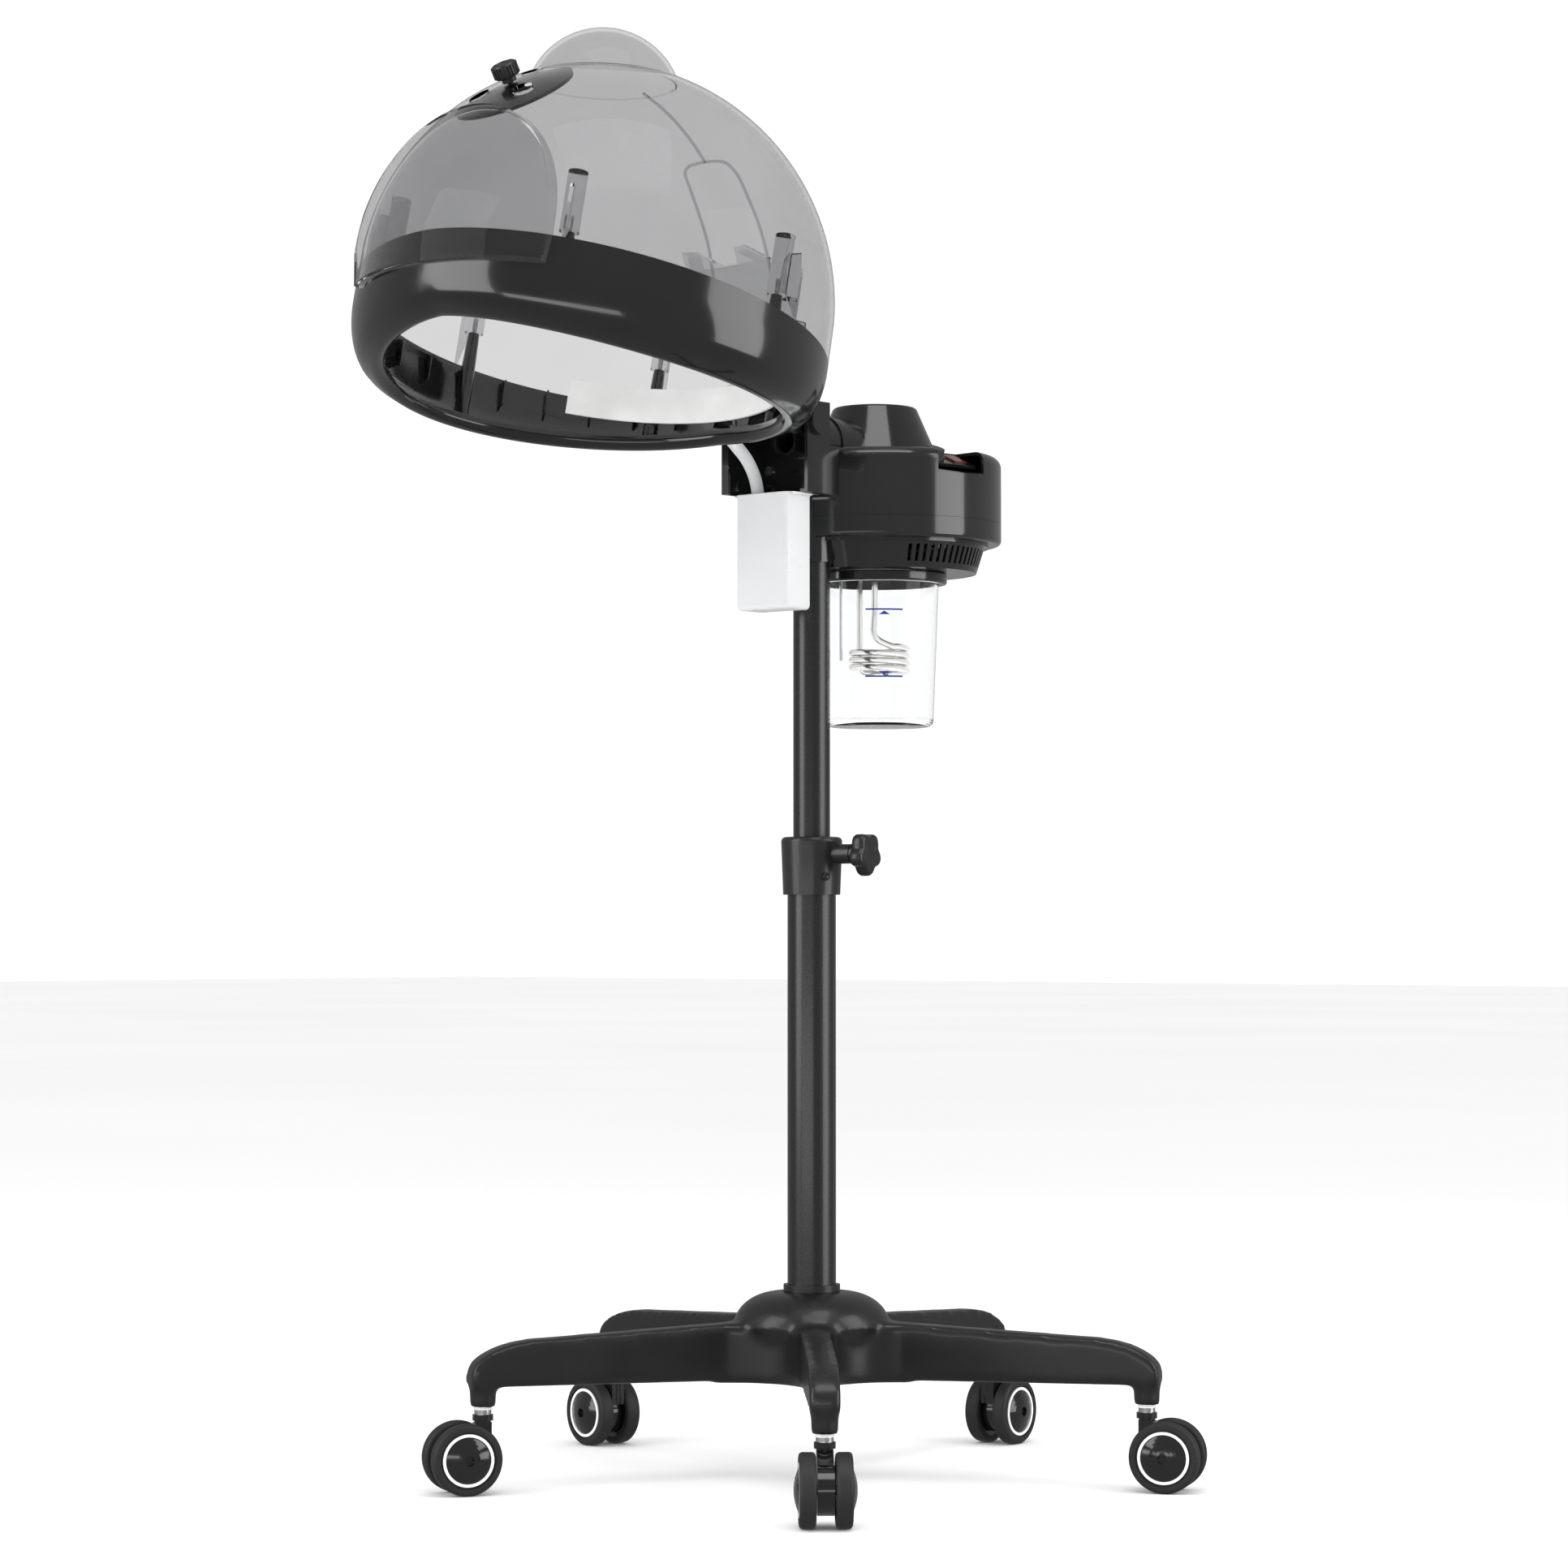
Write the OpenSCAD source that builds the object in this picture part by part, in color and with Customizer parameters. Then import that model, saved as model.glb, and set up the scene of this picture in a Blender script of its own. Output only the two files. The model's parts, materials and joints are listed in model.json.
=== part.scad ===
// Hood steamer on a five-arm rolling stand.
// Millimetres, +Z up. The pole axis is the Z axis, the floor is z = 0, and the hood points to -Y.

/* [Casters] */
// Diameter of each caster wheel
wheel_d = 60; // [50:1:66]
// Width of one tyre
tyre_w = 13.7; // [10:0.1:17]
// Radial depth of the tyre
tyre_depth = 6; // [4:0.5:8]
// Distance between the two wheels of a caster
wheel_gap = 15.5; // [13:0.5:20]
// Distance from the swivel stem to the axle
caster_trail = 18; // [14:1:22]
// Diameter of the swivel stem
stem_d = 11; // [8:0.5:12]
// Diameter of the axle
axle_d = 8; // [5:0.5:9]

/* [Base] */
// Radius of the circle on which the caster stems stand
stem_circle_r = 294; // [245:1:355]
// Direction of the first arm
first_arm_angle = -48; // [-90:1:90]
// Height of the underside of the arm sleeves
sleeve_z = 70; // [68:1:90]
// Height of the top of the hub
hub_top = 161; // [150:1:195]
// Radius of the hub between two arms
hub_r = 60; // [52:1:72]
// Width of an arm
arm_w = 25; // [22.5:0.5:34]
// Height of an arm at its root
arm_h = 52; // [44:1:62]

/* [Column] */
// Height of the top of the lower tube's collar
collar_top = 553; // [470:1:650]
// Height of the collar
collar_h = 50; // [44:1:62]
// Outer diameter of the collar at its top
collar_d = 53; // [50:1:60]
// Outer diameter of the lower tube
lower_tube_d = 42; // [40:0.5:44]
// Wall of the lower tube
lower_tube_wall = 2; // [1.5:0.1:2.5]
// Outer diameter of the upper tube
upper_tube_d = 32; // [28:0.5:34]
// Wall of the upper tube
upper_tube_wall = 2; // [1.5:0.1:3]
// Diameter of the clamp knob
knob_d = 38.6; // [32:0.2:44]
// Direction in which the clamp knob points
knob_angle = 8; // [-45:1:45]

/* [Head] */
// Height of the underside of the drum
drum_z = 812; // [760:1:900]
// Radius of the drum
drum_r = 108; // [104:1:120]
// Height of the drum
drum_h = 78; // [70:1:95]
// Distance from the pole to the drum's centre
drum_y = 93; // [90:1:98]
// Height of the lower shell
lower_shell_h = 18; // [14:1:24]
// Wall of the shells
shell_wall = 3; // [2:0.5:4]
// Number of slots in the vent skirt
skirt_slots = 80; // [40:1:84]
// Outer radius of the jar at its mouth
jar_r = 54; // [48:1:56]
// Height of the jar
jar_h = 135; // [100:1:150]
// Wall of the jar
jar_wall = 3; // [2:0.5:5]
// Outer diameter of the heater coil
coil_d = 53; // [40:1:60]
// Diameter of the heater tube
coil_tube_d = 5.6; // [4:0.2:6]
// Number of turns of the heater coil
coil_turns = 3.5; // [2.5:0.5:4.5]
// Length of the waste box across the machine
box_w = 58; // [46:1:62]
// Depth of the waste box
box_d = 34; // [26:1:38]
// Height of the waste box
box_h = 100; // [70:1:120]

/* [Hood] */
// Radius of the dome
hood_r = 196; // [180:1:206]
// Distance in front of the pole of the dome's centre
hood_reach = 275; // [270:1:300]
// Height of the dome's centre above the underside of the drum
hood_rise = 175; // [172:1:195]
// Tilt of the hood at rest, front raised
hood_lean = 12.5; // [5:0.5:15]
// Depth of the collar below the dome
collar_depth = 65; // [58:1:72]
// Wall of the dome
dome_wall = 3; // [2:0.5:4]
// Radius of the crest bubble on the dome
crest_r = 66; // [55:1:72]
// Radius of the vent disc
vent_r = 50; // [40:1:52]
// Height of the vent disc above the dome's seam, in degrees
vent_elevation = 46; // [45:1:52]
// Half width of the front window
window_half = 106; // [86:1:112]

/* [Hidden] */

$fn = 64;
// Gap between bodies that move past each other
clear = 0.3;
// Radial gap of a fit or a bearing
fit = 0.05;
// Overlap that makes a cut run clean through
eps = 1;

// Casters
wheel_r = wheel_d / 2;
wheel_in = wheel_gap / 2;
wheel_out = wheel_in + tyre_w;
hub_rim_r = wheel_r - tyre_depth;
ring_out_r = hub_rim_r - 2;
ring_in_r = ring_out_r - 2.4;
ring_t = 1;
cap_h = 5;
fender_r = wheel_r - 10;
neck_r = 8.75;
neck_top = sleeve_z - 4;
stem_floor = wheel_r + 20;
flange_r = 7.2;

// Base
sleeve_r = 11.2;
bush_r = 7.5;
tip_bottom = sleeve_z + 19;
stem_top = tip_bottom + 14;
hub_bottom = sleeve_z + 15;
arm_angles = [for (k = [0 : 4]) first_arm_angle + 72 * k];

// Column
lower_tube_r = lower_tube_d / 2;
lower_tube_in = lower_tube_r - lower_tube_wall;
tube_foot = hub_bottom + 12;
upper_tube_r = upper_tube_d / 2;
upper_tube_in = upper_tube_r - upper_tube_wall;
collar_bottom = collar_top - collar_h;
collar_r = collar_d / 2;
collar_shoulder = collar_top - 22;
bush_h = 70;
upper_tube_foot = collar_bottom - 270;
plug_h = 20;
knob_z = collar_top - 15;
knob_face = collar_r + 21;
knob_h = 18;
stud_r = 4;

// Head
drum_top = drum_z + drum_h;
seam_z = drum_z + lower_shell_h;
rim_r = 10;
pole_sleeve_r = upper_tube_r + 3;
sleeve_bottom = drum_z - 21;
sleeve_top = drum_top - 6;
tube_top = sleeve_top - 2 - clear;
skirt_top = drum_z;
skirt_h = 25;
skirt_bottom = skirt_top - skirt_h;
skirt_top_r = 93;
skirt_bottom_r = 86;
skirt_wall = 2.5;
seal_h = 2;
throat_r = 44;
jar_top = skirt_bottom - clear;
jar_bottom = jar_top - jar_h;
jar_foot_r = jar_r - 6;
ring_h = 9;
ring_r = jar_r + 6;
coil_top_z = jar_bottom + 71;
coil_pitch = coil_tube_d + 0.8;
heater_flange_z = skirt_bottom + 3;
cone_y = drum_y - 6;
cone_r = 54;
cone_top_r = 38;
cone_h = 44;
pipe_z = drum_top + 4;
pipe_r = 26;
pipe_front = -24;

// Bracket and hinge
saddle_y = -24;
ear_r = 11;
pivot_y = saddle_y - ear_r - 1;
pivot_z = drum_top + 19;
cheek_x = 34;
cheek_t = 3.5;
bracket_bottom = drum_z + 35;
bracket_top = pivot_z + 17;
pin_r = 5;
cap_r = 12;
ear_x = 24;
ear_t = 6;
box_top = bracket_bottom - clear;
box_y = -51;

// Hood, in its own frame: the dome's centre is the origin and z = 0 is the seam
dome_z = drum_z + hood_rise;
lip_r = hood_r - 31;
post_r = hood_r - 24;
post_angles = [66.4, 113.6, 10, 170, 235, 305];
window_low = -12;
window_high = 107;
window_gap = 6;
window_wall = 3;
crest_out = 32;

// Spigot under the collar, and the route of the drain hose from it into the waste box
spigot_angle = 94;
spigot_h = 8;
hose_d = 11;
hose_route = [
    [-13.5, -95.7, 894.8], [-13.5, -91, 891.5], [-13.5, -86.5, 888.3], [-13.5, -81.8, 884.9],
    [-13.5, -77, 881.5], [-13.5, -73.5, 878.7], [-13.5, -70.4, 875.8], [-13.4, -67.4, 872.4],
    [-13.3, -64.8, 868.9], [-13.2, -62.3, 865], [-13, -60.3, 860.8], [-13, -58.5, 856.3],
    [-13, -57.2, 851.5], [-13, -56.3, 846.3], [-13, -56, 841], [-13, -56, 836], [-13, -56, 831]];

// ---------------------------------------------------------------- helpers

function arc(cx, cy, r, from, to, steps = 8) =
    [for (i = [0 : steps]) let (a = from + (to - from) * i / steps) [cx + r * cos(a), cy + r * sin(a)]];

function unit(v) = v / norm(v);
function tangent(p, i) = unit(p[min(i + 1, len(p) - 1)] - p[max(i - 1, 0)]);
function carried(n, t) = unit(n - t * (n * t));
function first_normal(t) = carried(abs(t[2]) > 0.8 ? [1, 0, 0] : [0, 0, 1], t);

// A tube swept along a list of points, as one closed polyhedron
module sweep(path, r, sides = 8) {
    count = len(path);
    tangents = [for (i = [0 : count - 1]) tangent(path, i)];
    normals = [for (i = 0, n = first_normal(tangents[0]); i < count;
                    i = i + 1, n = carried(n, tangents[min(i, count - 1)])) n];
    points = [for (i = [0 : count - 1]) let (n = normals[i], b = cross(tangents[i], n))
              for (s = [0 : sides - 1]) let (a = 360 * s / sides)
                  path[i] + r * (cos(a) * n + sin(a) * b)];
    sides_faces = [for (i = [0 : count - 2]) for (s = [0 : sides - 1])
                   let (t = (s + 1) % sides)
                       [i * sides + s, (i + 1) * sides + s, (i + 1) * sides + t, i * sides + t]];
    first_cap = [[for (s = [0 : sides - 1]) s]];
    last_cap = [[for (s = [sides - 1 : -1 : 0]) (count - 1) * sides + s]];
    polyhedron(points, concat(first_cap, sides_faces, last_cap), convexity = 6);
}

module ring(r_out, r_in, h) {
    difference() {
        cylinder(r = r_out, h = h);
        translate([0, 0, -eps]) cylinder(r = r_in, h = h + 2 * eps);
    }
}

module at_arms() {
    for (a = arm_angles) rotate([0, 0, a]) children();
}

module at_stem(n) {
    rotate([0, 0, arm_angles[n - 1]]) translate([stem_circle_r, 0, 0]) children();
}

// Puts what is drawn about the Z axis on the axle of caster n
module at_axle(n) {
    at_stem(n) translate([caster_trail, 0, wheel_r]) rotate([-90, 0, 0]) children();
}

module at_drum() {
    translate([0, drum_y, 0]) children();
}

module at_hood() {
    translate([0, -hood_reach, dome_z]) rotate([-hood_lean, 0, 0]) children();
}

module at_vent() {
    at_hood() rotate([90 - vent_elevation, 0, 0]) children();
}

module at_panel() {
    at_drum() rotate([0, 0, -8]) translate([drum_r - 25, 0, drum_top - 7]) rotate([0, 24, 0]) children();
}

// ---------------------------------------------------------------- casters

module caster_fork(n) {
    plate_t = wheel_gap - 2;
    color("#1b1b1d") at_stem(n) difference() {
        union() {
            translate([0, 0, stem_floor - 12]) cylinder(r = plate_t / 2, h = neck_top - stem_floor + 11);
            translate([0, 0, wheel_d + 1]) cylinder(r = neck_r, h = neck_top - wheel_d - 1);
            translate([caster_trail, plate_t / 2, wheel_r]) rotate([90, 0, 0]) cylinder(r = fender_r, h = plate_t);
            translate([0, plate_t / 2, 0]) rotate([90, 0, 0]) linear_extrude(plate_t)
                polygon([[-6, stem_floor - 12], [-6, neck_top - 6], [5, neck_top - 6],
                         [caster_trail, wheel_r + fender_r], [caster_trail, wheel_r]]);
        }
        translate([0, 0, stem_floor]) cylinder(r = stem_d / 2 + fit, h = neck_top);
        translate([caster_trail, wheel_gap, wheel_r]) rotate([90, 0, 0])
            cylinder(r = axle_d / 2 + fit, h = 2 * wheel_gap);
    }
}

module on_both_sides() {
    for (side = [0, 1]) mirror([0, 0, side]) children();
}

module caster_tyres(n) {
    edge = min(3, tyre_depth / 2);
    outline = concat(arc(wheel_r - edge, wheel_in + edge, edge, -90, 0, 4),
                     arc(wheel_r - edge, wheel_out - edge, edge, 0, 90, 4),
                     [[hub_rim_r, wheel_out], [hub_rim_r, wheel_in]]);
    color("#2a2a2c") at_axle(n) on_both_sides() rotate_extrude() polygon(outline);
}

module caster_hubs(n) {
    dome_r = (ring_in_r ^ 2 + cap_h ^ 2) / (2 * cap_h);
    half = asin(ring_in_r / dome_r);
    rim = hub_rim_r - fit;
    face = wheel_out - ring_t;
    bore = axle_d / 2 + fit;
    outline = concat([[bore, wheel_in + 1], [rim, wheel_in + 1], [rim, face], [ring_in_r, face]],
                     arc(0, face + cap_h - dome_r, dome_r, 90 - half, 84, 6),
                     [[bore, face + cap_h - 2]]);
    color("#161618") at_axle(n) {
        on_both_sides() rotate_extrude() polygon(outline);
        translate([0, 0, -wheel_out]) cylinder(d = axle_d, h = 2 * wheel_out);
    }
}

module caster_rings(n) {
    color("#d9d9d6") at_axle(n) on_both_sides()
        translate([0, 0, wheel_out - ring_t]) ring(ring_out_r, ring_in_r + fit, ring_t);
}

module caster_stems() {
    color("#b9bcc0") at_arms() translate([stem_circle_r, 0, 0]) {
        translate([0, 0, stem_floor + clear]) cylinder(d = stem_d, h = stem_top - stem_floor - clear);
        translate([0, 0, neck_top + clear]) cylinder(r = flange_r, h = sleeve_z - neck_top - clear);
    }
}

module stem_bushes() {
    color("#3a3a3c") at_arms() translate([stem_circle_r, 0, sleeve_z])
        ring(bush_r, stem_d / 2 + fit, stem_top - sleeve_z);
}

// ---------------------------------------------------------------- base

// Side view of an arm: flat below, sloping above, and turned down at the tip
function arm_outline() =
    let (tip = stem_circle_r + sleeve_r + 1, turn = 66, root_top = hub_bottom + arm_h, bend_top = root_top - 9)
    concat([[0, hub_bottom + 1], [tip, tip_bottom], [tip, tip_bottom + 10]],
           [for (k = [1 : 8]) let (a = 90 * k / 8)
               [tip - turn + turn * cos(a), tip_bottom + 10 + (bend_top - tip_bottom - 10) * sin(a)]],
           [[hub_r, root_top], [0, root_top]]);

module star_arm() {
    translate([0, arm_w / 2, 0]) rotate([90, 0, 0]) linear_extrude(arm_w) polygon(arm_outline());
}

// The block that joins the arms with a hollow fillet in each corner, which runs out just inside both arms
module hub_block() {
    run_out = 1.5;
    reach = (hub_r - arm_w / 2 + run_out) / (1 - sin(36));
    fillet_r = reach - hub_r;
    difference() {
        translate([0, 0, hub_bottom]) cylinder(r = reach * cos(36) - 6, h = arm_h - 3);
        at_arms() rotate([0, 0, 36]) translate([reach, 0, hub_bottom - eps])
            cylinder(r = fillet_r, h = arm_h + 20);
    }
}

module base_star() {
    crown = hub_top - hub_bottom - arm_h + 6;
    profile = concat([[0, hub_bottom + 2], [hub_r - 4, hub_bottom + 2], [hub_r - 4, hub_top - crown - 14],
                      [hub_r + 8, hub_top - crown]],
                     [for (k = [1 : 6]) let (a = 15 * k)
                         [(hub_r + 8) - (hub_r - lower_tube_r) * (1 - cos(a)), hub_top - crown * (1 - sin(a))]],
                     [[0, hub_top]]);
    color("#151517") difference() {
        union() {
            rotate_extrude() polygon(profile);
            hub_block();
            at_arms() star_arm();
            at_arms() translate([stem_circle_r, 0, sleeve_z]) cylinder(r = sleeve_r, h = tip_bottom - sleeve_z + 2);
        }
        translate([0, 0, tube_foot]) cylinder(r = lower_tube_r + fit, h = hub_top);
        at_arms() translate([stem_circle_r, 0, sleeve_z - eps])
            cylinder(r = bush_r + fit, h = stem_top - sleeve_z + eps + clear);
        translate([0, 0, hub_bottom - eps]) cylinder(r = 4.5, h = tube_foot);
    }
}

module base_screws() {
    color("#9a9da1") translate([0, 0, hub_bottom - 6]) {
        cylinder(r = 8, h = 6);
        cylinder(r = 4.4, h = 6 + tube_foot - hub_bottom);
    }
}

module foot_ring() {
    color("#1a1a1c") translate([0, 0, hub_top]) ring(lower_tube_r + 3.5, lower_tube_r + fit, 6);
}

// ---------------------------------------------------------------- column

module lower_tube() {
    color("#161617") translate([0, 0, tube_foot])
        ring(lower_tube_r, lower_tube_in, collar_shoulder - tube_foot);
}

module clamp_collar() {
    foot_r = collar_r - 1.7;
    edge = 4;
    profile = concat([[lower_tube_r + fit, collar_bottom], [foot_r, collar_bottom]],
                     arc(collar_r - edge, collar_top - edge, edge, 0, 90, 6),
                     [[upper_tube_r + 0.5, collar_top], [upper_tube_r + 0.5, collar_shoulder],
                      [lower_tube_r + fit, collar_shoulder]]);
    color("#171719") difference() {
        union() {
            rotate_extrude() polygon(profile);
            rotate([0, 0, knob_angle]) translate([lower_tube_r + 1.5, 0, knob_z]) rotate([0, 90, 0])
                cylinder(r = 8.5, h = knob_face - lower_tube_r - 7.5);
        }
        rotate([0, 0, knob_angle]) translate([upper_tube_r - eps, 0, knob_z]) rotate([0, 90, 0])
            cylinder(r = stud_r + fit, h = knob_face);
    }
}

module guide_bush() {
    color("#e4e4e2") translate([0, 0, collar_shoulder - bush_h])
        ring(lower_tube_in - fit, upper_tube_r + fit, bush_h);
}

module clamp_stud() {
    color("#b9bcc0") rotate([0, 0, knob_angle]) translate([upper_tube_r + clear, 0, knob_z]) rotate([0, 90, 0])
        cylinder(r = stud_r, h = knob_face + 8 - upper_tube_r - clear);
}

module clamp_knob() {
    lobe_r = knob_d * 0.17;
    color("#121214") rotate([0, 0, knob_angle]) translate([knob_face - 5, 0, knob_z]) rotate([0, 90, 0])
        difference() {
            union() {
                cylinder(r = 8.5, h = 6);
                translate([0, 0, 5]) cylinder(r = knob_d / 2 - lobe_r, h = knob_h - 5);
                for (k = [0 : 4]) rotate([0, 0, 72 * k]) translate([knob_d / 2 - lobe_r, 0, 5])
                    cylinder(r = lobe_r, h = knob_h - 6);
            }
            translate([0, 0, -eps]) cylinder(r = stud_r + fit, h = 14);
        }
}

module upper_tube() {
    color("#161617") translate([0, 0, upper_tube_foot])
        ring(upper_tube_r, upper_tube_in, tube_top - upper_tube_foot);
}

module tube_end_plug() {
    color("#e4e4e2") translate([0, 0, upper_tube_foot - 4]) {
        cylinder(r = lower_tube_in - 0.1, h = 4);
        cylinder(r = upper_tube_in - fit, h = plug_h);
    }
}

// ---------------------------------------------------------------- head

module head_lower_shell() {
    post_h = 15;
    profile = concat([[throat_r + 6, drum_z]], arc(drum_r - 4, drum_z + 4, 4, -90, 0, 4),
                     [[drum_r, seam_z], [drum_r - shell_wall, seam_z],
                      [drum_r - shell_wall, drum_z + shell_wall], [throat_r + 6, drum_z + shell_wall]]);
    color("#222224") difference() {
        union() {
            at_drum() rotate_extrude() polygon(profile);
            translate([0, 0, sleeve_bottom]) cylinder(r = pole_sleeve_r, h = sleeve_top - sleeve_bottom);
            for (x = [-30, 30], y = [56, 84]) translate([x, drum_y + y, drum_z + 1]) cylinder(r = 3.5, h = post_h + 1);
        }
        translate([0, 0, sleeve_bottom - eps]) cylinder(r = upper_tube_r + fit, h = sleeve_top - sleeve_bottom - 1);
    }
}

module pipe_barrel(gap) {
    translate([0, pipe_front - gap, pipe_z]) rotate([-90, 0, 0]) {
        cylinder(r = pipe_r + gap, h = cone_y - cone_top_r - pipe_front + 2 * gap);
        for (y = [16, 34]) translate([0, 0, y]) cylinder(r = pipe_r + 1.4 + gap, h = 3 + 2 * gap);
    }
}

module bracket_screw_places() {
    for (x = [-27, 27], z = [bracket_bottom + 8, bracket_bottom + 24]) translate([x, saddle_y, z])
        rotate([-90, 0, 0]) children();
}

module head_upper_shell() {
    inner = drum_r - shell_wall;
    profile = concat([[drum_r, seam_z + 0.2]], arc(drum_r - rim_r, drum_top - rim_r, rim_r, 0, 90, 8),
                     [[cone_r - 8, drum_top], [cone_r - 8, drum_top - shell_wall]],
                     arc(drum_r - rim_r, drum_top - rim_r, rim_r - shell_wall, 90, 0, 8),
                     [[inner, seam_z + 0.2]]);
    color("#29292b") difference() {
        at_drum() rotate_extrude() polygon(profile);
        translate([0, 0, seam_z - eps]) cylinder(r = pole_sleeve_r + fit, h = sleeve_top - seam_z + eps + clear);
        pipe_barrel(fit);
        at_panel() translate([-15.3, -27.3, -3 - fit]) cube([60, 54.6, 30]);
        translate([-14.3, drum_y + drum_r - 12, seam_z + 12.7]) cube([28.6, 20, 22.6]);
        bracket_screw_places() cylinder(r = 2.1, h = 40);
    }
}

module vent_skirt() {
    inner = jar_r - 8;
    profile = [[skirt_top_r + 4, skirt_top], [skirt_top_r + 4, skirt_top - 2.5], [skirt_top_r, skirt_top - 2.5],
               [skirt_bottom_r, skirt_bottom], [inner, skirt_bottom], [inner, skirt_bottom + 3],
               [skirt_bottom_r - skirt_wall - 0.5, skirt_bottom + 3], [skirt_top_r - skirt_wall, skirt_top - 2.5],
               [skirt_top_r - skirt_wall, skirt_top]];
    color("#1e1e20") difference() {
        at_drum() rotate_extrude() polygon(profile);
        translate([0, 0, skirt_bottom - eps]) cylinder(r = pole_sleeve_r + fit, h = skirt_h + 2 * eps);
        at_drum() for (k = [0 : skirt_slots - 1]) rotate([0, 0, 360 * (k + 0.5) / skirt_slots - 90])
            if (abs(360 * (k + 0.5) / skirt_slots - 180) < 127)
                translate([skirt_bottom_r - 8, -1.6, skirt_bottom + 5]) cube([20, 3.2, skirt_h - 10]);
        at_drum() translate([0, 0, skirt_bottom - eps]) cylinder(r = jar_r - 2, h = seal_h + eps);
    }
}

module jar_seal() {
    color("#d8d8d4") at_drum() translate([0, 0, skirt_bottom]) ring(jar_r - 2 - fit, jar_r - 8 + fit, seal_h);
}

module water_jar() {
    edge = 6;
    inner_edge = edge - 1.5;
    neck = jar_r - 1;
    profile = concat([[0, jar_bottom]], arc(jar_foot_r - edge, jar_bottom + edge, edge, -90, 0, 6),
                     [[neck, jar_top], [neck - jar_wall, jar_top]],
                     arc(jar_foot_r - jar_wall - inner_edge, jar_bottom + jar_wall + inner_edge, inner_edge, 0, -90, 5),
                     [[0, jar_bottom + jar_wall]]);
    color("#dfe6e8", 0.4) at_drum() rotate_extrude() polygon(profile);
}

module jar_ring() {
    profile = concat([[jar_r - 0.8, jar_top - ring_h]], arc(ring_r - 2, jar_top - ring_h + 2, 2, -90, 0, 3),
                     arc(ring_r - 1, jar_top - 1, 1, 0, 90, 3), [[jar_r - 0.8, jar_top]]);
    color("#1c1c1e") at_drum() rotate_extrude() polygon(profile);
}

module heater_coil() {
    coil_r = (coil_d - coil_tube_d) / 2;
    steps = 14;
    count = floor(coil_turns * steps);
    out_r = coil_r + coil_tube_d + 2;
    leg_top = heater_flange_z - fit;
    end_angle = 360 * coil_turns - 60;
    end_z = coil_top_z - coil_pitch * coil_turns;
    helix = [for (i = [0 : count]) let (a = 360 * coil_turns * i / count - 60)
             [coil_r * cos(a), coil_r * sin(a), coil_top_z - coil_pitch * coil_turns * i / count]];
    start = helix[0];
    lead_in = [[start[0], start[1], leg_top], [start[0], start[1], coil_top_z + 12],
               [start[0] - 1, start[1] - 0.5, coil_top_z + 5]];
    lead_out = [for (s = [12, 24, 36]) let (r = coil_r + (out_r - coil_r) * s / 36)
                [r * cos(end_angle + s), r * sin(end_angle + s), end_z - 1 + s / 12]];
    rise = [for (z = [end_z + 8, leg_top]) [out_r * cos(end_angle + 42), out_r * sin(end_angle + 42), z]];
    color("#c8c4ba") at_drum() {
        sweep(concat(lead_in, helix, lead_out, rise), coil_tube_d / 2);
        translate([0, 0, heater_flange_z]) cylinder(r = throat_r + 8, h = 3);
    }
}

module level_probe() {
    color("#c2c4c8") at_drum() rotate([0, 0, 220]) translate([34, 0, coil_top_z - 12])
        cylinder(r = 1.4, h = heater_flange_z - fit - coil_top_z + 12);
}

module cone_cover() {
    edge = 4;
    profile = concat([[cone_r + 4, 0], [cone_r + 4, 2.5], [cone_r, 4]],
                     arc(cone_top_r - edge, cone_h - edge, edge, 15, 90, 4),
                     [[0, cone_h], [0, cone_h - shell_wall], [cone_top_r - edge - 1, cone_h - shell_wall],
                      [cone_r - shell_wall, 3], [cone_r - shell_wall, 0]]);
    color("#19191b") difference() {
        translate([0, cone_y, drum_top]) rotate_extrude() polygon(profile);
        pipe_barrel(fit);
    }
}

module steam_pipe() {
    color("#1a1a1c") difference() {
        union() {
            pipe_barrel(0);
            translate([0, pipe_front - 12, pipe_z]) rotate([-90, 0, 0]) cylinder(r1 = 13, r2 = 15, h = 13);
        }
        translate([0, pipe_front - 20, pipe_z]) rotate([-90, 0, 0]) cylinder(r = 10, h = 25);
        translate([0, pipe_front + 3, pipe_z]) rotate([-90, 0, 0]) cylinder(r = pipe_r - 2.5, h = 120);
        translate([0, 0, sleeve_top - 60]) cylinder(r = pole_sleeve_r + fit, h = 60 + clear);
        translate([-60, -60, drum_top - 2 * pipe_r]) cube([120, 60 + drum_y, 2 * pipe_r - shell_wall - pipe_r + 8]);
    }
}

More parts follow.
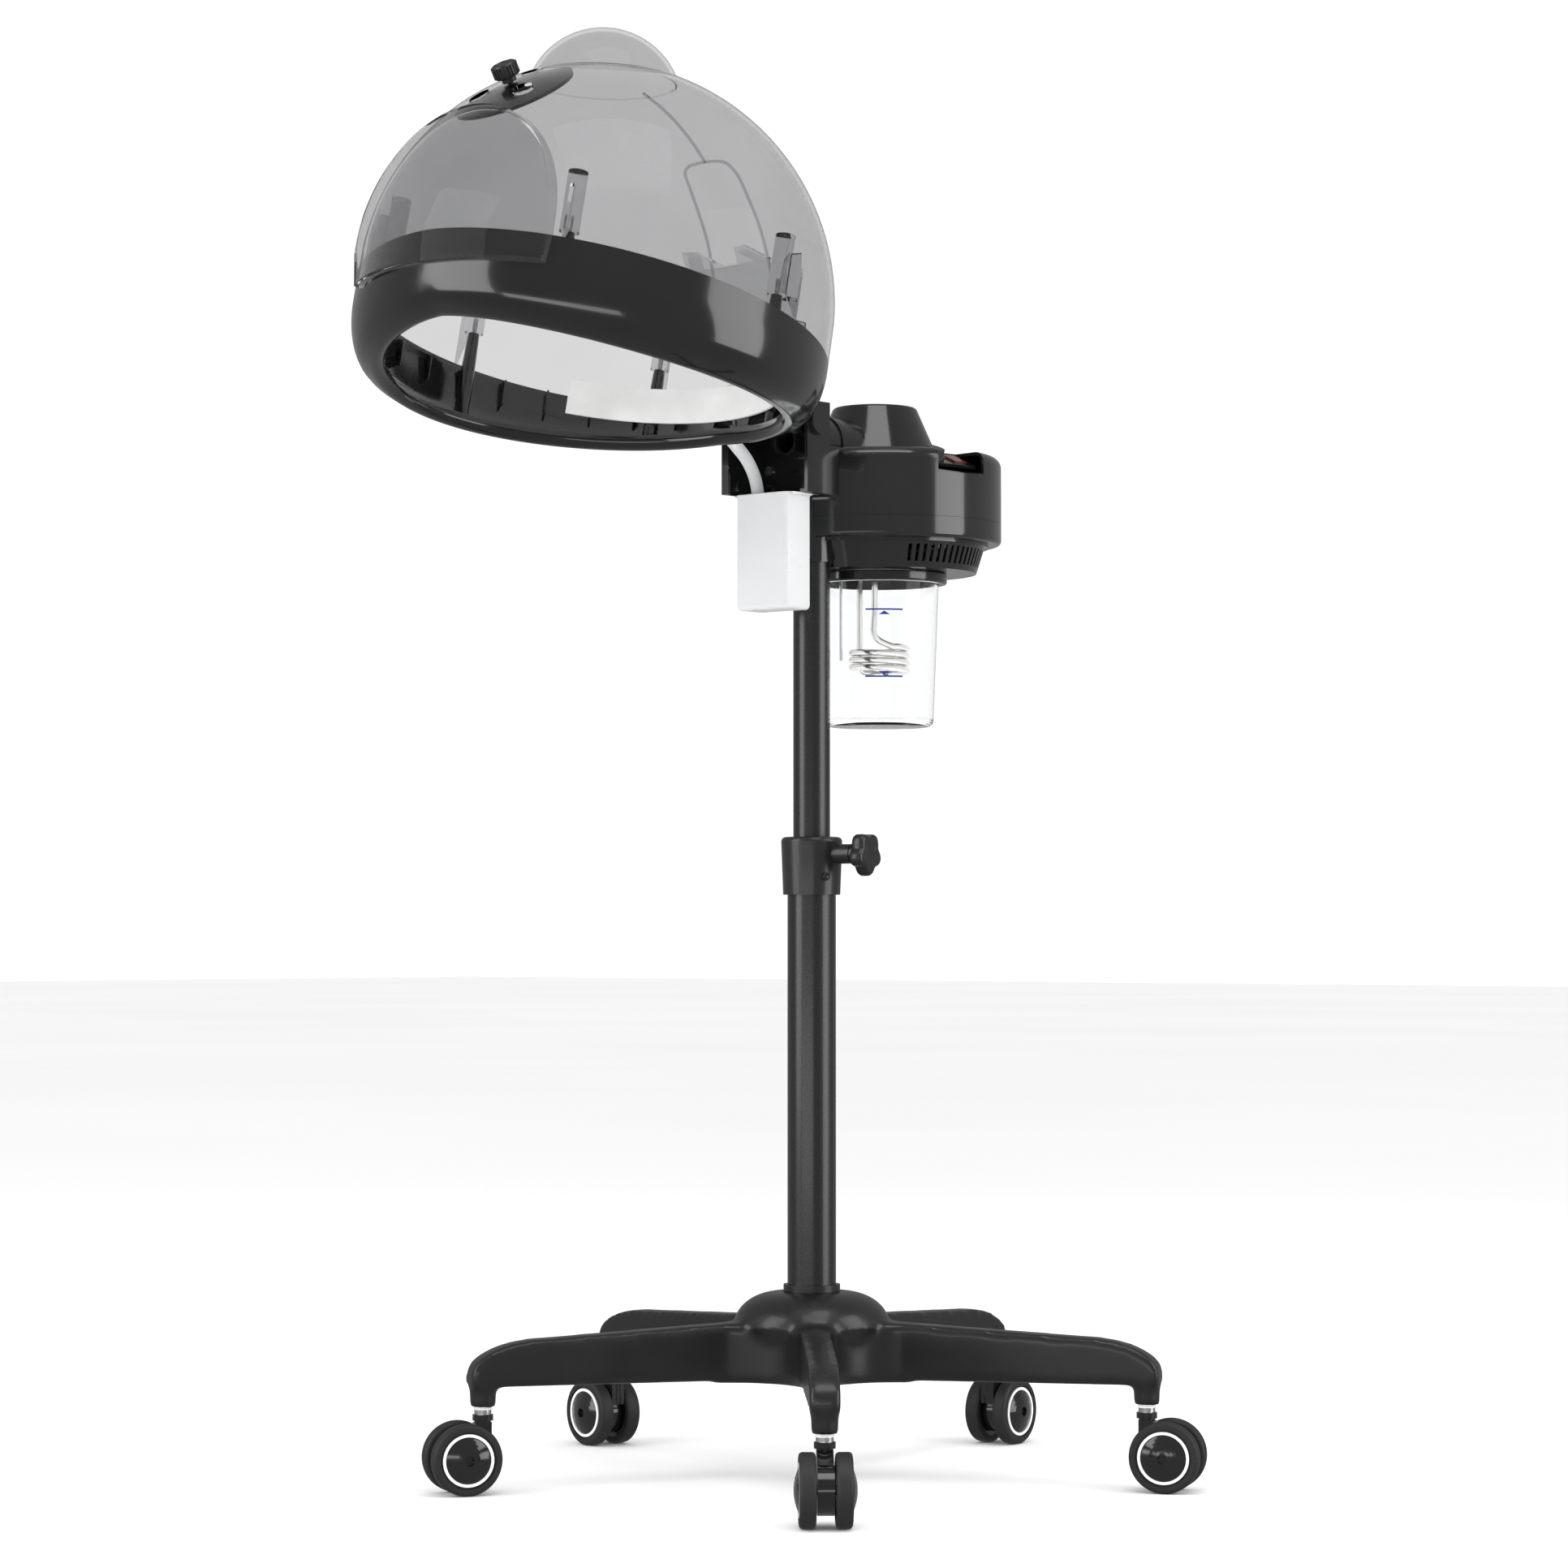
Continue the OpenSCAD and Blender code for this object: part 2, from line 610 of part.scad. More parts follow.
module arm_bracket() {
    height = bracket_top - bracket_bottom;
    far_front = -76;
    near_front = -50;
    color("#1d1d1f") difference() {
        union() {
            translate([-cheek_x - cheek_t, saddle_y, bracket_bottom])
                cube([2 * (cheek_x + cheek_t), 18, drum_top - 1 - bracket_bottom]);
            translate([-cheek_x - cheek_t, saddle_y, drum_top - 2])
                cube([2 * (cheek_x + cheek_t), 4, bracket_top - drum_top + 2]);
            translate([cheek_x, near_front, bracket_bottom]) cube([cheek_t, saddle_y - near_front + 1, height]);
            translate([-cheek_x - cheek_t, near_front, bracket_bottom])
                cube([cheek_t, saddle_y - near_front + 1, height]);
            translate([-cheek_x - cheek_t, far_front, bracket_bottom])
                cube([cheek_t, near_front - far_front + 1, 44]);
            translate([-cheek_x - 1, far_front, bracket_bottom]) cube([5, 3, 44]);
            translate([-cheek_x - 1, far_front, bracket_bottom + 22]) cube([6, near_front - far_front, 2]);
            for (y = [far_front + 12, saddle_y - 12]) translate([-cheek_x - 1, y, bracket_bottom + 8])
                rotate([0, 90, 0]) cylinder(r = 4.5, h = 8);
            for (x = [-cheek_x - 1, cheek_x - 5]) translate([x, near_front, bracket_bottom])
                cube([6, saddle_y - near_front + 1, 3]);
        }
        at_drum() translate([0, 0, drum_z]) cylinder(r = drum_r + fit, h = drum_h);
        translate([0, 0, drum_z]) cylinder(r = pole_sleeve_r + fit, h = drum_h);
        pipe_barrel(fit);
        translate([-cheek_x - 10, pivot_y, pivot_z]) rotate([0, 90, 0]) cylinder(r = pin_r + fit, h = 2 * cheek_x + 20);
        for (y = [far_front + 12, saddle_y - 12]) translate([-cheek_x, y, bracket_bottom + 8])
            rotate([0, 90, 0]) cylinder(r = 1.8, h = 20);
        bracket_screw_places() translate([0, 0, -eps]) cylinder(r = 2.1, h = 40);
    }
}

module bracket_screws() {
    color("#a4a7ab") bracket_screw_places() {
        translate([0, 0, -2.5]) cylinder(r = 4, h = 2.5);
        translate([0, 0, -eps]) cylinder(r = 2, h = 18);
    }
}

module waste_box() {
    wall = 1.8;
    color("#eef0ee", 0.7) translate([0, box_y, box_top - box_h]) difference() {
        union() {
            translate([-box_w / 2, -box_d / 2, 0]) cube([box_w, box_d, box_h]);
            translate([-box_w / 2 - 4, -box_d / 2, box_h - 2]) cube([box_w + 8, box_d, 2]);
        }
        translate([wall - box_w / 2, wall - box_d / 2, wall]) cube([box_w - 2 * wall, box_d - 2 * wall, box_h]);
    }
}

module control_panel() {
    color("#0f0f11") at_panel() difference() {
        translate([-15, -27, -3]) cube([29, 54, 3]);
        translate([0, -13, -10]) cylinder(r = 3 + fit, h = 20);
        translate([-9.4, 4.6, -10]) cube([18.8, 14.8, 20]);
    }
}

module timer_dial() {
    color("#e6e6e4") at_panel() translate([0, -13, 0]) {
        translate([0, 0, clear]) cylinder(r = 10, h = 3);
        translate([0, 0, clear]) cylinder(r = 8, h = 9);
        translate([0, 0, -3]) cylinder(r = 3, h = 5);
    }
}

module power_switch() {
    color("#b3211d") at_panel() translate([-9, 5, -3.5]) cube([18, 14, 5]);
}

module mains_inlet() {
    color("#0f0f11") translate([-14, drum_y + drum_r - 11, seam_z + 13]) difference() {
        cube([28, 14, 22]);
        translate([3, 4, 3]) cube([22, 20, 16]);
    }
}

module circuit_board() {
    color("#1f5a37") translate([-38, drum_y + 48, drum_z + 17]) {
        cube([76, 44, 1.6]);
        translate([10, 8, 1.6]) cube([22, 18, 14]);
        translate([44, 12, 1.6]) cube([16, 16, 18]);
    }
}

// ---------------------------------------------------------------- hood

function hood_section(inset) =
    let (r = hood_r - inset, low = inset - collar_depth)
    concat([[r, 0], [r, -18]],
           [for (k = [1 : 5]) let (a = 15 * k) [r - 20 * (1 - cos(a)), -18 - (collar_depth - 18 - inset) * sin(a)]],
           [[r - 20, low], [r - 27 + 2 * inset, low + 6]]);

module post_places() {
    for (a = post_angles) rotate([0, 0, a]) translate([post_r, 0, 0]) children();
}

module hood_collar() {
    outer = hood_section(0);
    inner = hood_section(dome_wall);
    lip_h = 17;
    profile = concat(outer, [[lip_r, lip_h - collar_depth], [lip_r + dome_wall, lip_h - collar_depth]],
                     [for (i = [len(inner) - 1 : -1 : 0]) inner[i]]);
    color("#131315") difference() {
        union() {
            at_hood() difference() {
                union() {
                    rotate_extrude() polygon(profile);
                    post_places() translate([0, 0, 8 - collar_depth]) cylinder(r = 7, h = collar_depth - 8);
                }
                post_places() translate([0, 0, -collar_depth]) cylinder(r = 2.2, h = collar_depth + eps);
                post_places() translate([0, 0, -collar_depth]) cylinder(r = 4.2, h = collar_depth - 16);
                rotate([-90, 0, 0]) translate([0, 25, 0]) cylinder(r = 14 + fit, h = hood_r + 10);
            }
            difference() {
                hood_ears();
                at_hood() rotate_extrude() polygon(concat([[0, 1], [hood_r - 1, 1]], inner, [[0, -collar_depth]]));
            }
            at_spigot() translate([0, 0, -1.5]) cylinder(r = 4, h = spigot_h + 1.5);
        }
        translate([-cheek_x, pivot_y, pivot_z]) rotate([0, 90, 0]) cylinder(r = pin_r + fit, h = 2 * cheek_x);
    }
}

// Points outwards and down from the collar's lower curve
module at_spigot() {
    at_hood() rotate([0, 0, spigot_angle]) translate([hood_r - 8, 0, 17 - collar_depth]) rotate([0, 113, 0])
        children();
}

// Two ears that carry the hood on the hinge pins
module hood_ears() {
    wall_y = hood_r - 22 - hood_reach;
    for (x = [-ear_x - ear_t, ear_x]) translate([x, 0, 0]) {
        translate([0, pivot_y, pivot_z]) rotate([0, 90, 0]) cylinder(r = ear_r, h = ear_t);
        rotate([90, 0, 90]) linear_extrude(ear_t)
            polygon([[pivot_y, pivot_z - ear_r], [pivot_y, pivot_z + ear_r],
                     [wall_y + 9, pivot_z + 22], [wall_y, pivot_z - 14]]);
    }
}

module hood_screws() {
    color("#9a9da1") at_hood() post_places() {
        translate([0, 0, -20]) cylinder(r = 4, h = 4);
        translate([0, 0, -17]) cylinder(r = 2, h = 29);
    }
}

module dome_solid(r, crest) {
    union() {
        sphere(r = r, $fn = 96);
        rotate([hood_lean, 0, 0]) translate([0, 8, hood_r + crest_out - crest_r]) sphere(r = crest, $fn = 96);
    }
}

module hood_dome() {
    color("#3c3c40", 0.55) at_hood() difference() {
        union() {
            difference() {
                dome_solid(hood_r, crest_r);
                dome_solid(hood_r - dome_wall, crest_r - dome_wall);
                translate([0, 0, -hood_r]) cube([4 * hood_r, 4 * hood_r, 2 * hood_r], center = true);
            }
            post_places() {
                cylinder(r = 8, h = 50);
                translate([0, -1.5, 0]) cube([sqrt((hood_r - dome_wall / 2) ^ 2 - 30 ^ 2) - post_r, 3, 34]);
            }
        }
        post_places() translate([0, 0, -eps]) cylinder(r = 2 + fit, h = 14);
        rotate([90 - vent_elevation, 0, 0]) {
            translate([0, 0, hood_r - 20]) cylinder(r = 3 + fit, h = 40);
            for (k = [0 : 2]) rotate([0, 0, 120 * k]) translate([0, 28, hood_r - 30]) cylinder(r = 9, h = 50);
        }
    }
}

// A flat-bottomed arch, as deep as the hood
module window_region(inset) {
    half = window_half - inset;
    rotate([90, 0, 0]) linear_extrude(2 * hood_r) {
        intersection() {
            translate([0, window_high - window_half]) circle(r = half);
            translate([-half, window_low + inset]) square([2 * half, 2 * half]);
        }
        translate([-half, window_low + inset])
            square([2 * half, window_high - window_half - window_low - inset]);
    }
}

module front_window() {
    outer = hood_r + window_gap + window_wall;
    color("#4a4a4e", 0.5) at_hood() difference() {
        intersection() {
            sphere(r = outer, $fn = 96);
            window_region(0);
        }
        intersection() {
            sphere(r = outer - window_wall, $fn = 96);
            window_region(window_wall);
        }
        sphere(r = hood_r + clear, $fn = 96);
        translate([0, 0, window_low - eps]) cylinder(r = hood_r + clear, h = eps - window_low);
    }
}

module steam_duct() {
    half = 36;
    top = 92;
    outer = hood_r - dome_wall - 0.4;
    depth = 30;
    color("#55555a", 0.5) at_hood() {
        difference() {
            intersection() {
                difference() {
                    sphere(r = outer, $fn = 96);
                    sphere(r = outer - depth, $fn = 96);
                }
                translate([-half, 0, 1]) cube([2 * half, hood_r, top]);
            }
            intersection() {
                difference() {
                    sphere(r = outer - 2.5, $fn = 96);
                    sphere(r = outer - depth + 2.5, $fn = 96);
                }
                translate([2.5 - half, 0, -eps]) cube([2 * half - 5, hood_r, top + eps - 1.5]);
            }
            translate([-20, 0, top - 12]) cube([40, hood_r - 30, 40]);
        }
        rotate([-90, 0, 0]) translate([0, 25, hood_r - 18]) difference() {
            cylinder(r = 14, h = 26);
            translate([0, 0, -eps]) cylinder(r = 11, h = 40);
        }
    }
}

module steam_baffle() {
    color("#ececea") at_hood() translate([0, 0, 15 - collar_depth]) rotate([0, 0, 41])
        rotate_extrude(angle = 98) translate([post_r - 7 - clear - 2.2, 0]) square([2.2, 30]);
}

module hinge_pins() {
    tip = ear_x - 1;
    color("#2a2a2c") for (side = [0, 1]) mirror([side, 0, 0]) translate([tip, pivot_y, pivot_z]) rotate([0, 90, 0]) {
        cylinder(r = pin_r, h = cheek_x + cheek_t + clear - tip + 1);
        translate([0, 0, cheek_x + cheek_t + clear - tip]) difference() {
            cylinder(r = cap_r, h = 4);
            translate([-cap_r, cap_r - 3, -eps]) cube([2 * cap_r, 6, 8]);
        }
    }
}

module drain_hose() {
    color("#dfe3e2", 0.6) sweep(hose_route, hose_d / 2, 10);
}

module vent_disc() {
    color("#1b1b1d") at_vent() difference() {
        intersection() {
            difference() {
                sphere(r = hood_r - dome_wall - 0.4, $fn = 96);
                sphere(r = hood_r - dome_wall - 3, $fn = 96);
            }
            cylinder(r = vent_r, h = 2 * hood_r);
        }
        translate([0, 0, hood_r - 30]) cylinder(r = 3 + fit, h = 60);
        for (k = [0 : 2]) rotate([0, 0, 120 * k]) translate([0, 28, hood_r - 30]) cylinder(r = 9, h = 60);
    }
}

module vent_knob() {
    seat = hood_r + clear;
    color("#101012") at_vent() {
        translate([0, 0, seat]) cylinder(r = 6, h = 5);
        translate([0, 0, seat + 4]) cylinder(r = 11, h = 12);
        translate([0, 0, hood_r - dome_wall - 7]) cylinder(r = 3, h = dome_wall + 10);
        translate([0, 0, hood_r - dome_wall - 6.5]) cylinder(r = 8, h = 3);
    }
}

// ---------------------------------------------------------------- assembly

base_star();
stem_bushes();
caster_stems();
foot_ring();
lower_tube();
clamp_collar();
guide_bush();
base_screws();
clamp_knob();
clamp_stud();
upper_tube();
tube_end_plug();
head_lower_shell();
head_upper_shell();
vent_skirt();
cone_cover();
steam_pipe();
arm_bracket();
bracket_screws();
jar_seal();
heater_coil();
level_probe();
control_panel();
mains_inlet();
circuit_board();
timer_dial();
power_switch();
water_jar();
jar_ring();
waste_box();
hood_collar();
hood_dome();
front_window();
steam_duct();
steam_baffle();
hood_screws();
hinge_pins();
drain_hose();
vent_disc();
vent_knob();
for (n = [1 : 5]) {
    caster_fork(n);
    caster_tyres(n);
    caster_hubs(n);
    caster_rings(n);
}
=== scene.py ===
"""Looks of a hood steamer on a rolling stand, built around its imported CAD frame."""

import json
import logging
import math
from dataclasses import dataclass, field
from enum import Enum
from typing import Sequence

import bmesh
import bpy
from mathutils import Matrix, Vector


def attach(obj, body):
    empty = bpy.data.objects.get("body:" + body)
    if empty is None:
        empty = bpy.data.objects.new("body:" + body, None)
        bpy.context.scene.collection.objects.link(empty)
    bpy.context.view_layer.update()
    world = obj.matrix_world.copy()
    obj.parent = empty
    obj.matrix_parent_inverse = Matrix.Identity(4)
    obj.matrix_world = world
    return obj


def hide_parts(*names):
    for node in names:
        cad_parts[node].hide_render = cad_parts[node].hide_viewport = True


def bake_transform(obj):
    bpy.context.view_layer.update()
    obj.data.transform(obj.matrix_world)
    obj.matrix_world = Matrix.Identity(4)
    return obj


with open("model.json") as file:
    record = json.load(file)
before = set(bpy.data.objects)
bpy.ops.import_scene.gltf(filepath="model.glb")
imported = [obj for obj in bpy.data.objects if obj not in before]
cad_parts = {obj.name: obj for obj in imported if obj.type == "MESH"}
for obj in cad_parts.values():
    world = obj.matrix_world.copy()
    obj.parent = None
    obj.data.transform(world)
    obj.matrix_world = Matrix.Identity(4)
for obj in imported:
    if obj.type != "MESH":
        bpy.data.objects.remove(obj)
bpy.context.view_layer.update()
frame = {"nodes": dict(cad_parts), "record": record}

LOG = logging.getLogger("steamer")
MM = 0.001
MERGE = 1e-6  # points closer than this are one

Point = tuple[float, float, float]
Colour = tuple[float, float, float]


# ------------------------------------------------------------------ places, the same as in the CAD source

HOOD_LEAN = math.radians(12.5)
HOOD_FRAME = Matrix.Translation((0.0, -0.275, 0.987)) @ Matrix.Rotation(-HOOD_LEAN, 4, "X")
HOOD_RADIUS = 0.196
VENT_FRAME = HOOD_FRAME @ Matrix.Rotation(math.radians(90 - 46), 4, "X")
DRUM_FRAME = Matrix.Translation((0.0, 0.093, 0.0))
HINGE_Y, HINGE_Z = -0.036, 0.909
POST_ANGLES = (66.4, 113.6, 10.0, 170.0, 235.0, 305.0)


# ------------------------------------------------------------------ finishes


class Sheen(Enum):
    """How a moulded plastic takes the light: roughness and the strength of its clear top layer."""

    GLOSS = (0.14, 0.5)
    SATIN = (0.34, 0.15)
    MATT = (0.55, 0.0)


class Nodes:
    """Builds a material's node tree in a few words."""

    def __init__(self, name: str) -> None:
        """Starts a material with its shader.

        Args:
            name: the material's name.
        """
        self.material = bpy.data.materials.new(name)
        self.material.use_nodes = True
        self.tree = self.material.node_tree
        self.shader = self.tree.nodes["Principled BSDF"]
        self.coords = self.tree.nodes.new("ShaderNodeTexCoord").outputs["Object"]

    def add(self, kind: str, **settings: object) -> bpy.types.Node:
        """Adds a node.

        Args:
            kind: the node's type, without its ShaderNode prefix.
            settings: attributes of the node.

        Returns:
            The node.
        """
        node = self.tree.nodes.new("ShaderNode" + kind)
        for key, value in settings.items():
            setattr(node, key, value)
        return node

    def link(self, source: bpy.types.NodeSocket, target: bpy.types.NodeSocket) -> None:
        """Joins two sockets."""
        self.tree.links.new(source, target)

    def set(self, **values: object) -> None:
        """Sets sockets of the shader; an underscore stands for a space in a socket's name."""
        for key, value in values.items():
            self.shader.inputs[key.replace("_", " ")].default_value = value

    def noise(self, scale: float, detail: float = 3.0, stretch: Point = (1.0, 1.0, 1.0)) -> bpy.types.NodeSocket:
        """Adds a noise on object coordinates.

        Args:
            scale: the pattern's scale, per metre.
            detail: the number of finer layers.
            stretch: a scale along each axis.

        Returns:
            The noise's value.
        """
        mapping = self.add("Mapping")
        mapping.inputs["Scale"].default_value = stretch
        self.link(self.coords, mapping.inputs["Vector"])
        noise = self.add("TexNoise")
        noise.inputs["Scale"].default_value = scale
        noise.inputs["Detail"].default_value = detail
        self.link(mapping.outputs["Vector"], noise.inputs["Vector"])
        return noise.outputs["Fac"]

    def spread(self, source: bpy.types.NodeSocket, low: float, high: float) -> bpy.types.NodeSocket:
        """Maps a 0.3 to 0.7 noise to the range low to high and returns the result."""
        ranged = self.add("MapRange")
        for name, value in (("From Min", 0.3), ("From Max", 0.7), ("To Min", low), ("To Max", high)):
            ranged.inputs[name].default_value = value
        self.link(source, ranged.inputs["Value"])
        return ranged.outputs["Result"]

    def tint(self, source: bpy.types.NodeSocket, dark: Colour, light: Colour) -> None:
        """Colours the surface between two colours by a noise.

        Args:
            source: the noise's value.
            dark: the colour where it is low.
            light: the colour where it is high.
        """
        ramp = self.add("ValToRGB")
        ramp.color_ramp.elements[0].position = 0.3
        ramp.color_ramp.elements[1].position = 0.7
        ramp.color_ramp.elements[0].color = (*dark, 1.0)
        ramp.color_ramp.elements[1].color = (*light, 1.0)
        self.link(source, ramp.inputs["Fac"])
        self.link(ramp.outputs["Color"], self.shader.inputs["Base Color"])

    def bump(self, source: bpy.types.NodeSocket, depth: float, strength: float = 0.5) -> None:
        """Roughens the surface by a noise, depth in metres."""
        bump = self.add("Bump")
        bump.inputs["Distance"].default_value = depth
        bump.inputs["Strength"].default_value = strength
        self.link(source, bump.inputs["Height"])
        self.link(bump.outputs["Normal"], self.shader.inputs["Normal"])


def shade(colour: Colour, factor: float) -> Colour:
    """Returns the colour made lighter or darker by a factor."""
    return tuple(min(1.0, c * factor) for c in colour)


@dataclass(frozen=True)
class MouldedPlastic:
    """Injection-moulded plastic: slight flow mottle, a fine orange peel and faint handling haze."""

    name: str
    colour: Colour
    sheen: Sheen = Sheen.GLOSS
    peel: float = 0.00002

    def material(self) -> bpy.types.Material:
        """Builds the finish and returns its material."""
        roughness, coat = self.sheen.value
        n = Nodes(self.name)
        n.tint(n.noise(9.0, 4.0), shade(self.colour, 0.8), shade(self.colour, 1.25))
        haze = n.noise(24.0, 5.0, (1.0, 1.0, 0.6))
        n.link(n.spread(haze, roughness * 0.85, roughness * 1.25), n.shader.inputs["Roughness"])
        n.bump(n.noise(420.0, 2.0), self.peel)
        n.set(IOR=1.49, Coat_Weight=coat, Coat_Roughness=0.06)
        return n.material


@dataclass(frozen=True)
class ClearPlastic:
    """Clear or smoky sheet plastic, tinted where light passes through, with faint handling marks."""

    name: str
    tint: Colour
    roughness: float = 0.03
    ior: float = 1.18

    def material(self) -> bpy.types.Material:
        """Builds the finish and returns its material."""
        n = Nodes(self.name)
        n.tint(n.noise(6.0, 3.0), shade(self.tint, 0.97), shade(self.tint, 1.03))
        n.link(n.spread(n.noise(30.0, 5.0), self.roughness * 0.7, self.roughness * 1.6),
               n.shader.inputs["Roughness"])
        n.bump(n.noise(60.0, 1.0), 0.00001, 0.3)
        n.set(IOR=self.ior, Transmission_Weight=1.0)
        return n.material


@dataclass(frozen=True)
class SatinPaint:
    """Black powder-coated steel tube: fine pebble texture and a soft shine."""

    name: str
    colour: Colour

    def material(self) -> bpy.types.Material:
        """Builds the finish and returns its material."""
        n = Nodes(self.name)
        n.tint(n.noise(14.0, 4.0, (1.0, 1.0, 0.15)), shade(self.colour, 0.85), shade(self.colour, 1.2))
        n.link(n.spread(n.noise(900.0, 2.0), 0.24, 0.34), n.shader.inputs["Roughness"])
        n.bump(n.noise(1500.0, 2.0), 0.00003, 0.35)
        n.set(IOR=1.5, Coat_Weight=0.25, Coat_Roughness=0.12)
        return n.material


@dataclass(frozen=True)
class TurnedSteel:
    """Bright steel with fine marks around or along it."""

    name: str
    colour: Colour
    roughness: float = 0.2
    stretch: Point = (1.0, 1.0, 12.0)

    def material(self) -> bpy.types.Material:
        """Builds the finish and returns its material."""
        n = Nodes(self.name)
        marks = n.noise(500.0, 3.0, self.stretch)
        n.tint(n.noise(20.0, 3.0), shade(self.colour, 0.9), shade(self.colour, 1.05))
        n.link(n.spread(marks, self.roughness * 0.7, self.roughness * 1.4), n.shader.inputs["Roughness"])
        n.bump(marks, 0.00001, 0.4)
        n.set(Metallic=1.0)
        return n.material


@dataclass(frozen=True)
class MilkyPlastic:
    """Translucent white polyethylene, which glows a little and blurs what is behind it."""

    name: str
    colour: Colour
    clearness: float = 0.35

    def material(self) -> bpy.types.Material:
        """Builds the finish and returns its material."""
        n = Nodes(self.name)
        n.tint(n.noise(12.0, 4.0), shade(self.colour, 0.95), shade(self.colour, 1.03))
        n.link(n.spread(n.noise(40.0, 4.0), 0.26, 0.4), n.shader.inputs["Roughness"])
        n.bump(n.noise(300.0, 2.0), 0.00002)
        n.set(IOR=1.3, Transmission_Weight=self.clearness)
        return n.material


BLACK = (0.006, 0.006, 0.0065)
FINISHES = {
    "base_plastic": MouldedPlastic("base_nylon", (0.008, 0.008, 0.0085), Sheen.SATIN, 0.00003),
    "bush_plastic": MouldedPlastic("bush_acetal", (0.7, 0.7, 0.68), Sheen.SATIN),
    "caster_steel": TurnedSteel("zinc_plated_steel", (0.72, 0.73, 0.75)),
    "collar_plastic": MouldedPlastic("collar_nylon", (0.009, 0.009, 0.0095), Sheen.SATIN, 0.00003),
    "tube_black": SatinPaint("powder_coated_tube", (0.007, 0.007, 0.0075)),
    "knob_plastic": MouldedPlastic("knob_phenolic", (0.008, 0.008, 0.0085), Sheen.SATIN),
    "shell_plastic": MouldedPlastic("shell_abs", (0.009, 0.009, 0.0095), Sheen.GLOSS),
    "cover_plastic": MouldedPlastic("cover_abs", (0.008, 0.008, 0.0085), Sheen.GLOSS),
    "seal_rubber": MouldedPlastic("seal_silicone", (0.6, 0.6, 0.58), Sheen.MATT),
    "heater_steel": TurnedSteel("heater_sheath", (0.78, 0.77, 0.75), 0.16, (1.0, 1.0, 1.0)),
    "board": MouldedPlastic("circuit_laminate", (0.03, 0.16, 0.07), Sheen.SATIN),
    "dial_plastic": MouldedPlastic("dial_abs", (0.03, 0.03, 0.031), Sheen.SATIN),
    "switch_red": MouldedPlastic("rocker_red", (0.09, 0.012, 0.011), Sheen.GLOSS),
    "jar_clear": ClearPlastic("jar_polycarbonate", (0.97, 0.985, 0.99), 0.02, 1.3),
    "box_plastic": MilkyPlastic("box_polyethylene", (0.79, 0.8, 0.805)),
    "hood_black": MouldedPlastic("collar_gloss_abs", BLACK, Sheen.GLOSS, 0.00001),
    "smoke_clear": ClearPlastic("smoky_polycarbonate", (0.64, 0.64, 0.645), 0.008, 1.14),
    "baffle_white": MouldedPlastic("baffle_abs", (0.8, 0.8, 0.79), Sheen.SATIN),
    "hose_clear": MilkyPlastic("hose_silicone", (0.86, 0.88, 0.88), 0.5),
    "caster_plastic": MouldedPlastic("caster_nylon", (0.007, 0.007, 0.0075), Sheen.GLOSS),
    "tyre_grey": MouldedPlastic("tyre_polyurethane", (0.013, 0.013, 0.0135), Sheen.MATT, 0.00006),
    "ring_white": MouldedPlastic("ring_abs", (0.85, 0.85, 0.84), Sheen.SATIN),
    "duct_clear": ClearPlastic("duct_polycarbonate", (0.8, 0.8, 0.805), 0.008, 1.05),
    "print_blue": MouldedPlastic("level_mark_ink", (0.005, 0.02, 0.22), Sheen.MATT),
}
_MADE: dict[str, bpy.types.Material] = {}


def finish(slot: str) -> bpy.types.Material:
    """Returns the material of a slot, which is made once."""
    if slot not in _MADE:
        _MADE[slot] = FINISHES[slot].material()
    return _MADE[slot]


# ------------------------------------------------------------------ mesh helpers


def mesh_piece(name: str, verts: Sequence[Sequence[float]], faces: Sequence[Sequence[int]], slot: str,
               smooth_angle: float = 35.0) -> bpy.types.Object:
    """Makes a piece from points and faces, with its doubles merged and its faces outward.

    Args:
        name: the piece's name.
        verts: its points, in metres.
        faces: its faces.
        slot: the material slot that it takes its finish from.
        smooth_angle: edges sharper than this, in degrees, stay crisp.

    Returns:
        The piece.
    """
    mesh = bpy.data.meshes.new(name)
    mesh.from_pydata([tuple(v) for v in verts], [], [tuple(f) for f in faces])
    obj = bpy.data.objects.new(name, mesh)
    bpy.context.scene.collection.objects.link(obj)
    tidy_mesh(obj)
    dress(obj, slot, smooth_angle)
    return obj


def tidy_mesh(obj: bpy.types.Object, outward: bool = True) -> None:
    """Merges a mesh's doubles and, where asked, turns its faces outward."""
    mesh = bmesh.new()
    mesh.from_mesh(obj.data)
    bmesh.ops.remove_doubles(mesh, verts=mesh.verts, dist=MERGE)
    if outward:
        bmesh.ops.recalc_face_normals(mesh, faces=mesh.faces)
    mesh.to_mesh(obj.data)
    mesh.free()


def dress(obj: bpy.types.Object, slot: str, smooth_angle: float = 35.0) -> None:
    """Gives a piece its finish and its smooth shading.

    Args:
        obj: the piece.
        slot: the material slot.
        smooth_angle: edges sharper than this, in degrees, stay crisp.
    """
    obj.data.materials.clear()
    obj.data.materials.append(finish(slot))
    limit = math.radians(smooth_angle)
    mesh = bmesh.new()
    mesh.from_mesh(obj.data)
    for face in mesh.faces:
        face.smooth = True
    for edge in mesh.edges:
        edge.smooth = len(edge.link_faces) == 2 and edge.calc_face_angle(0.0) < limit
    mesh.to_mesh(obj.data)
    mesh.free()


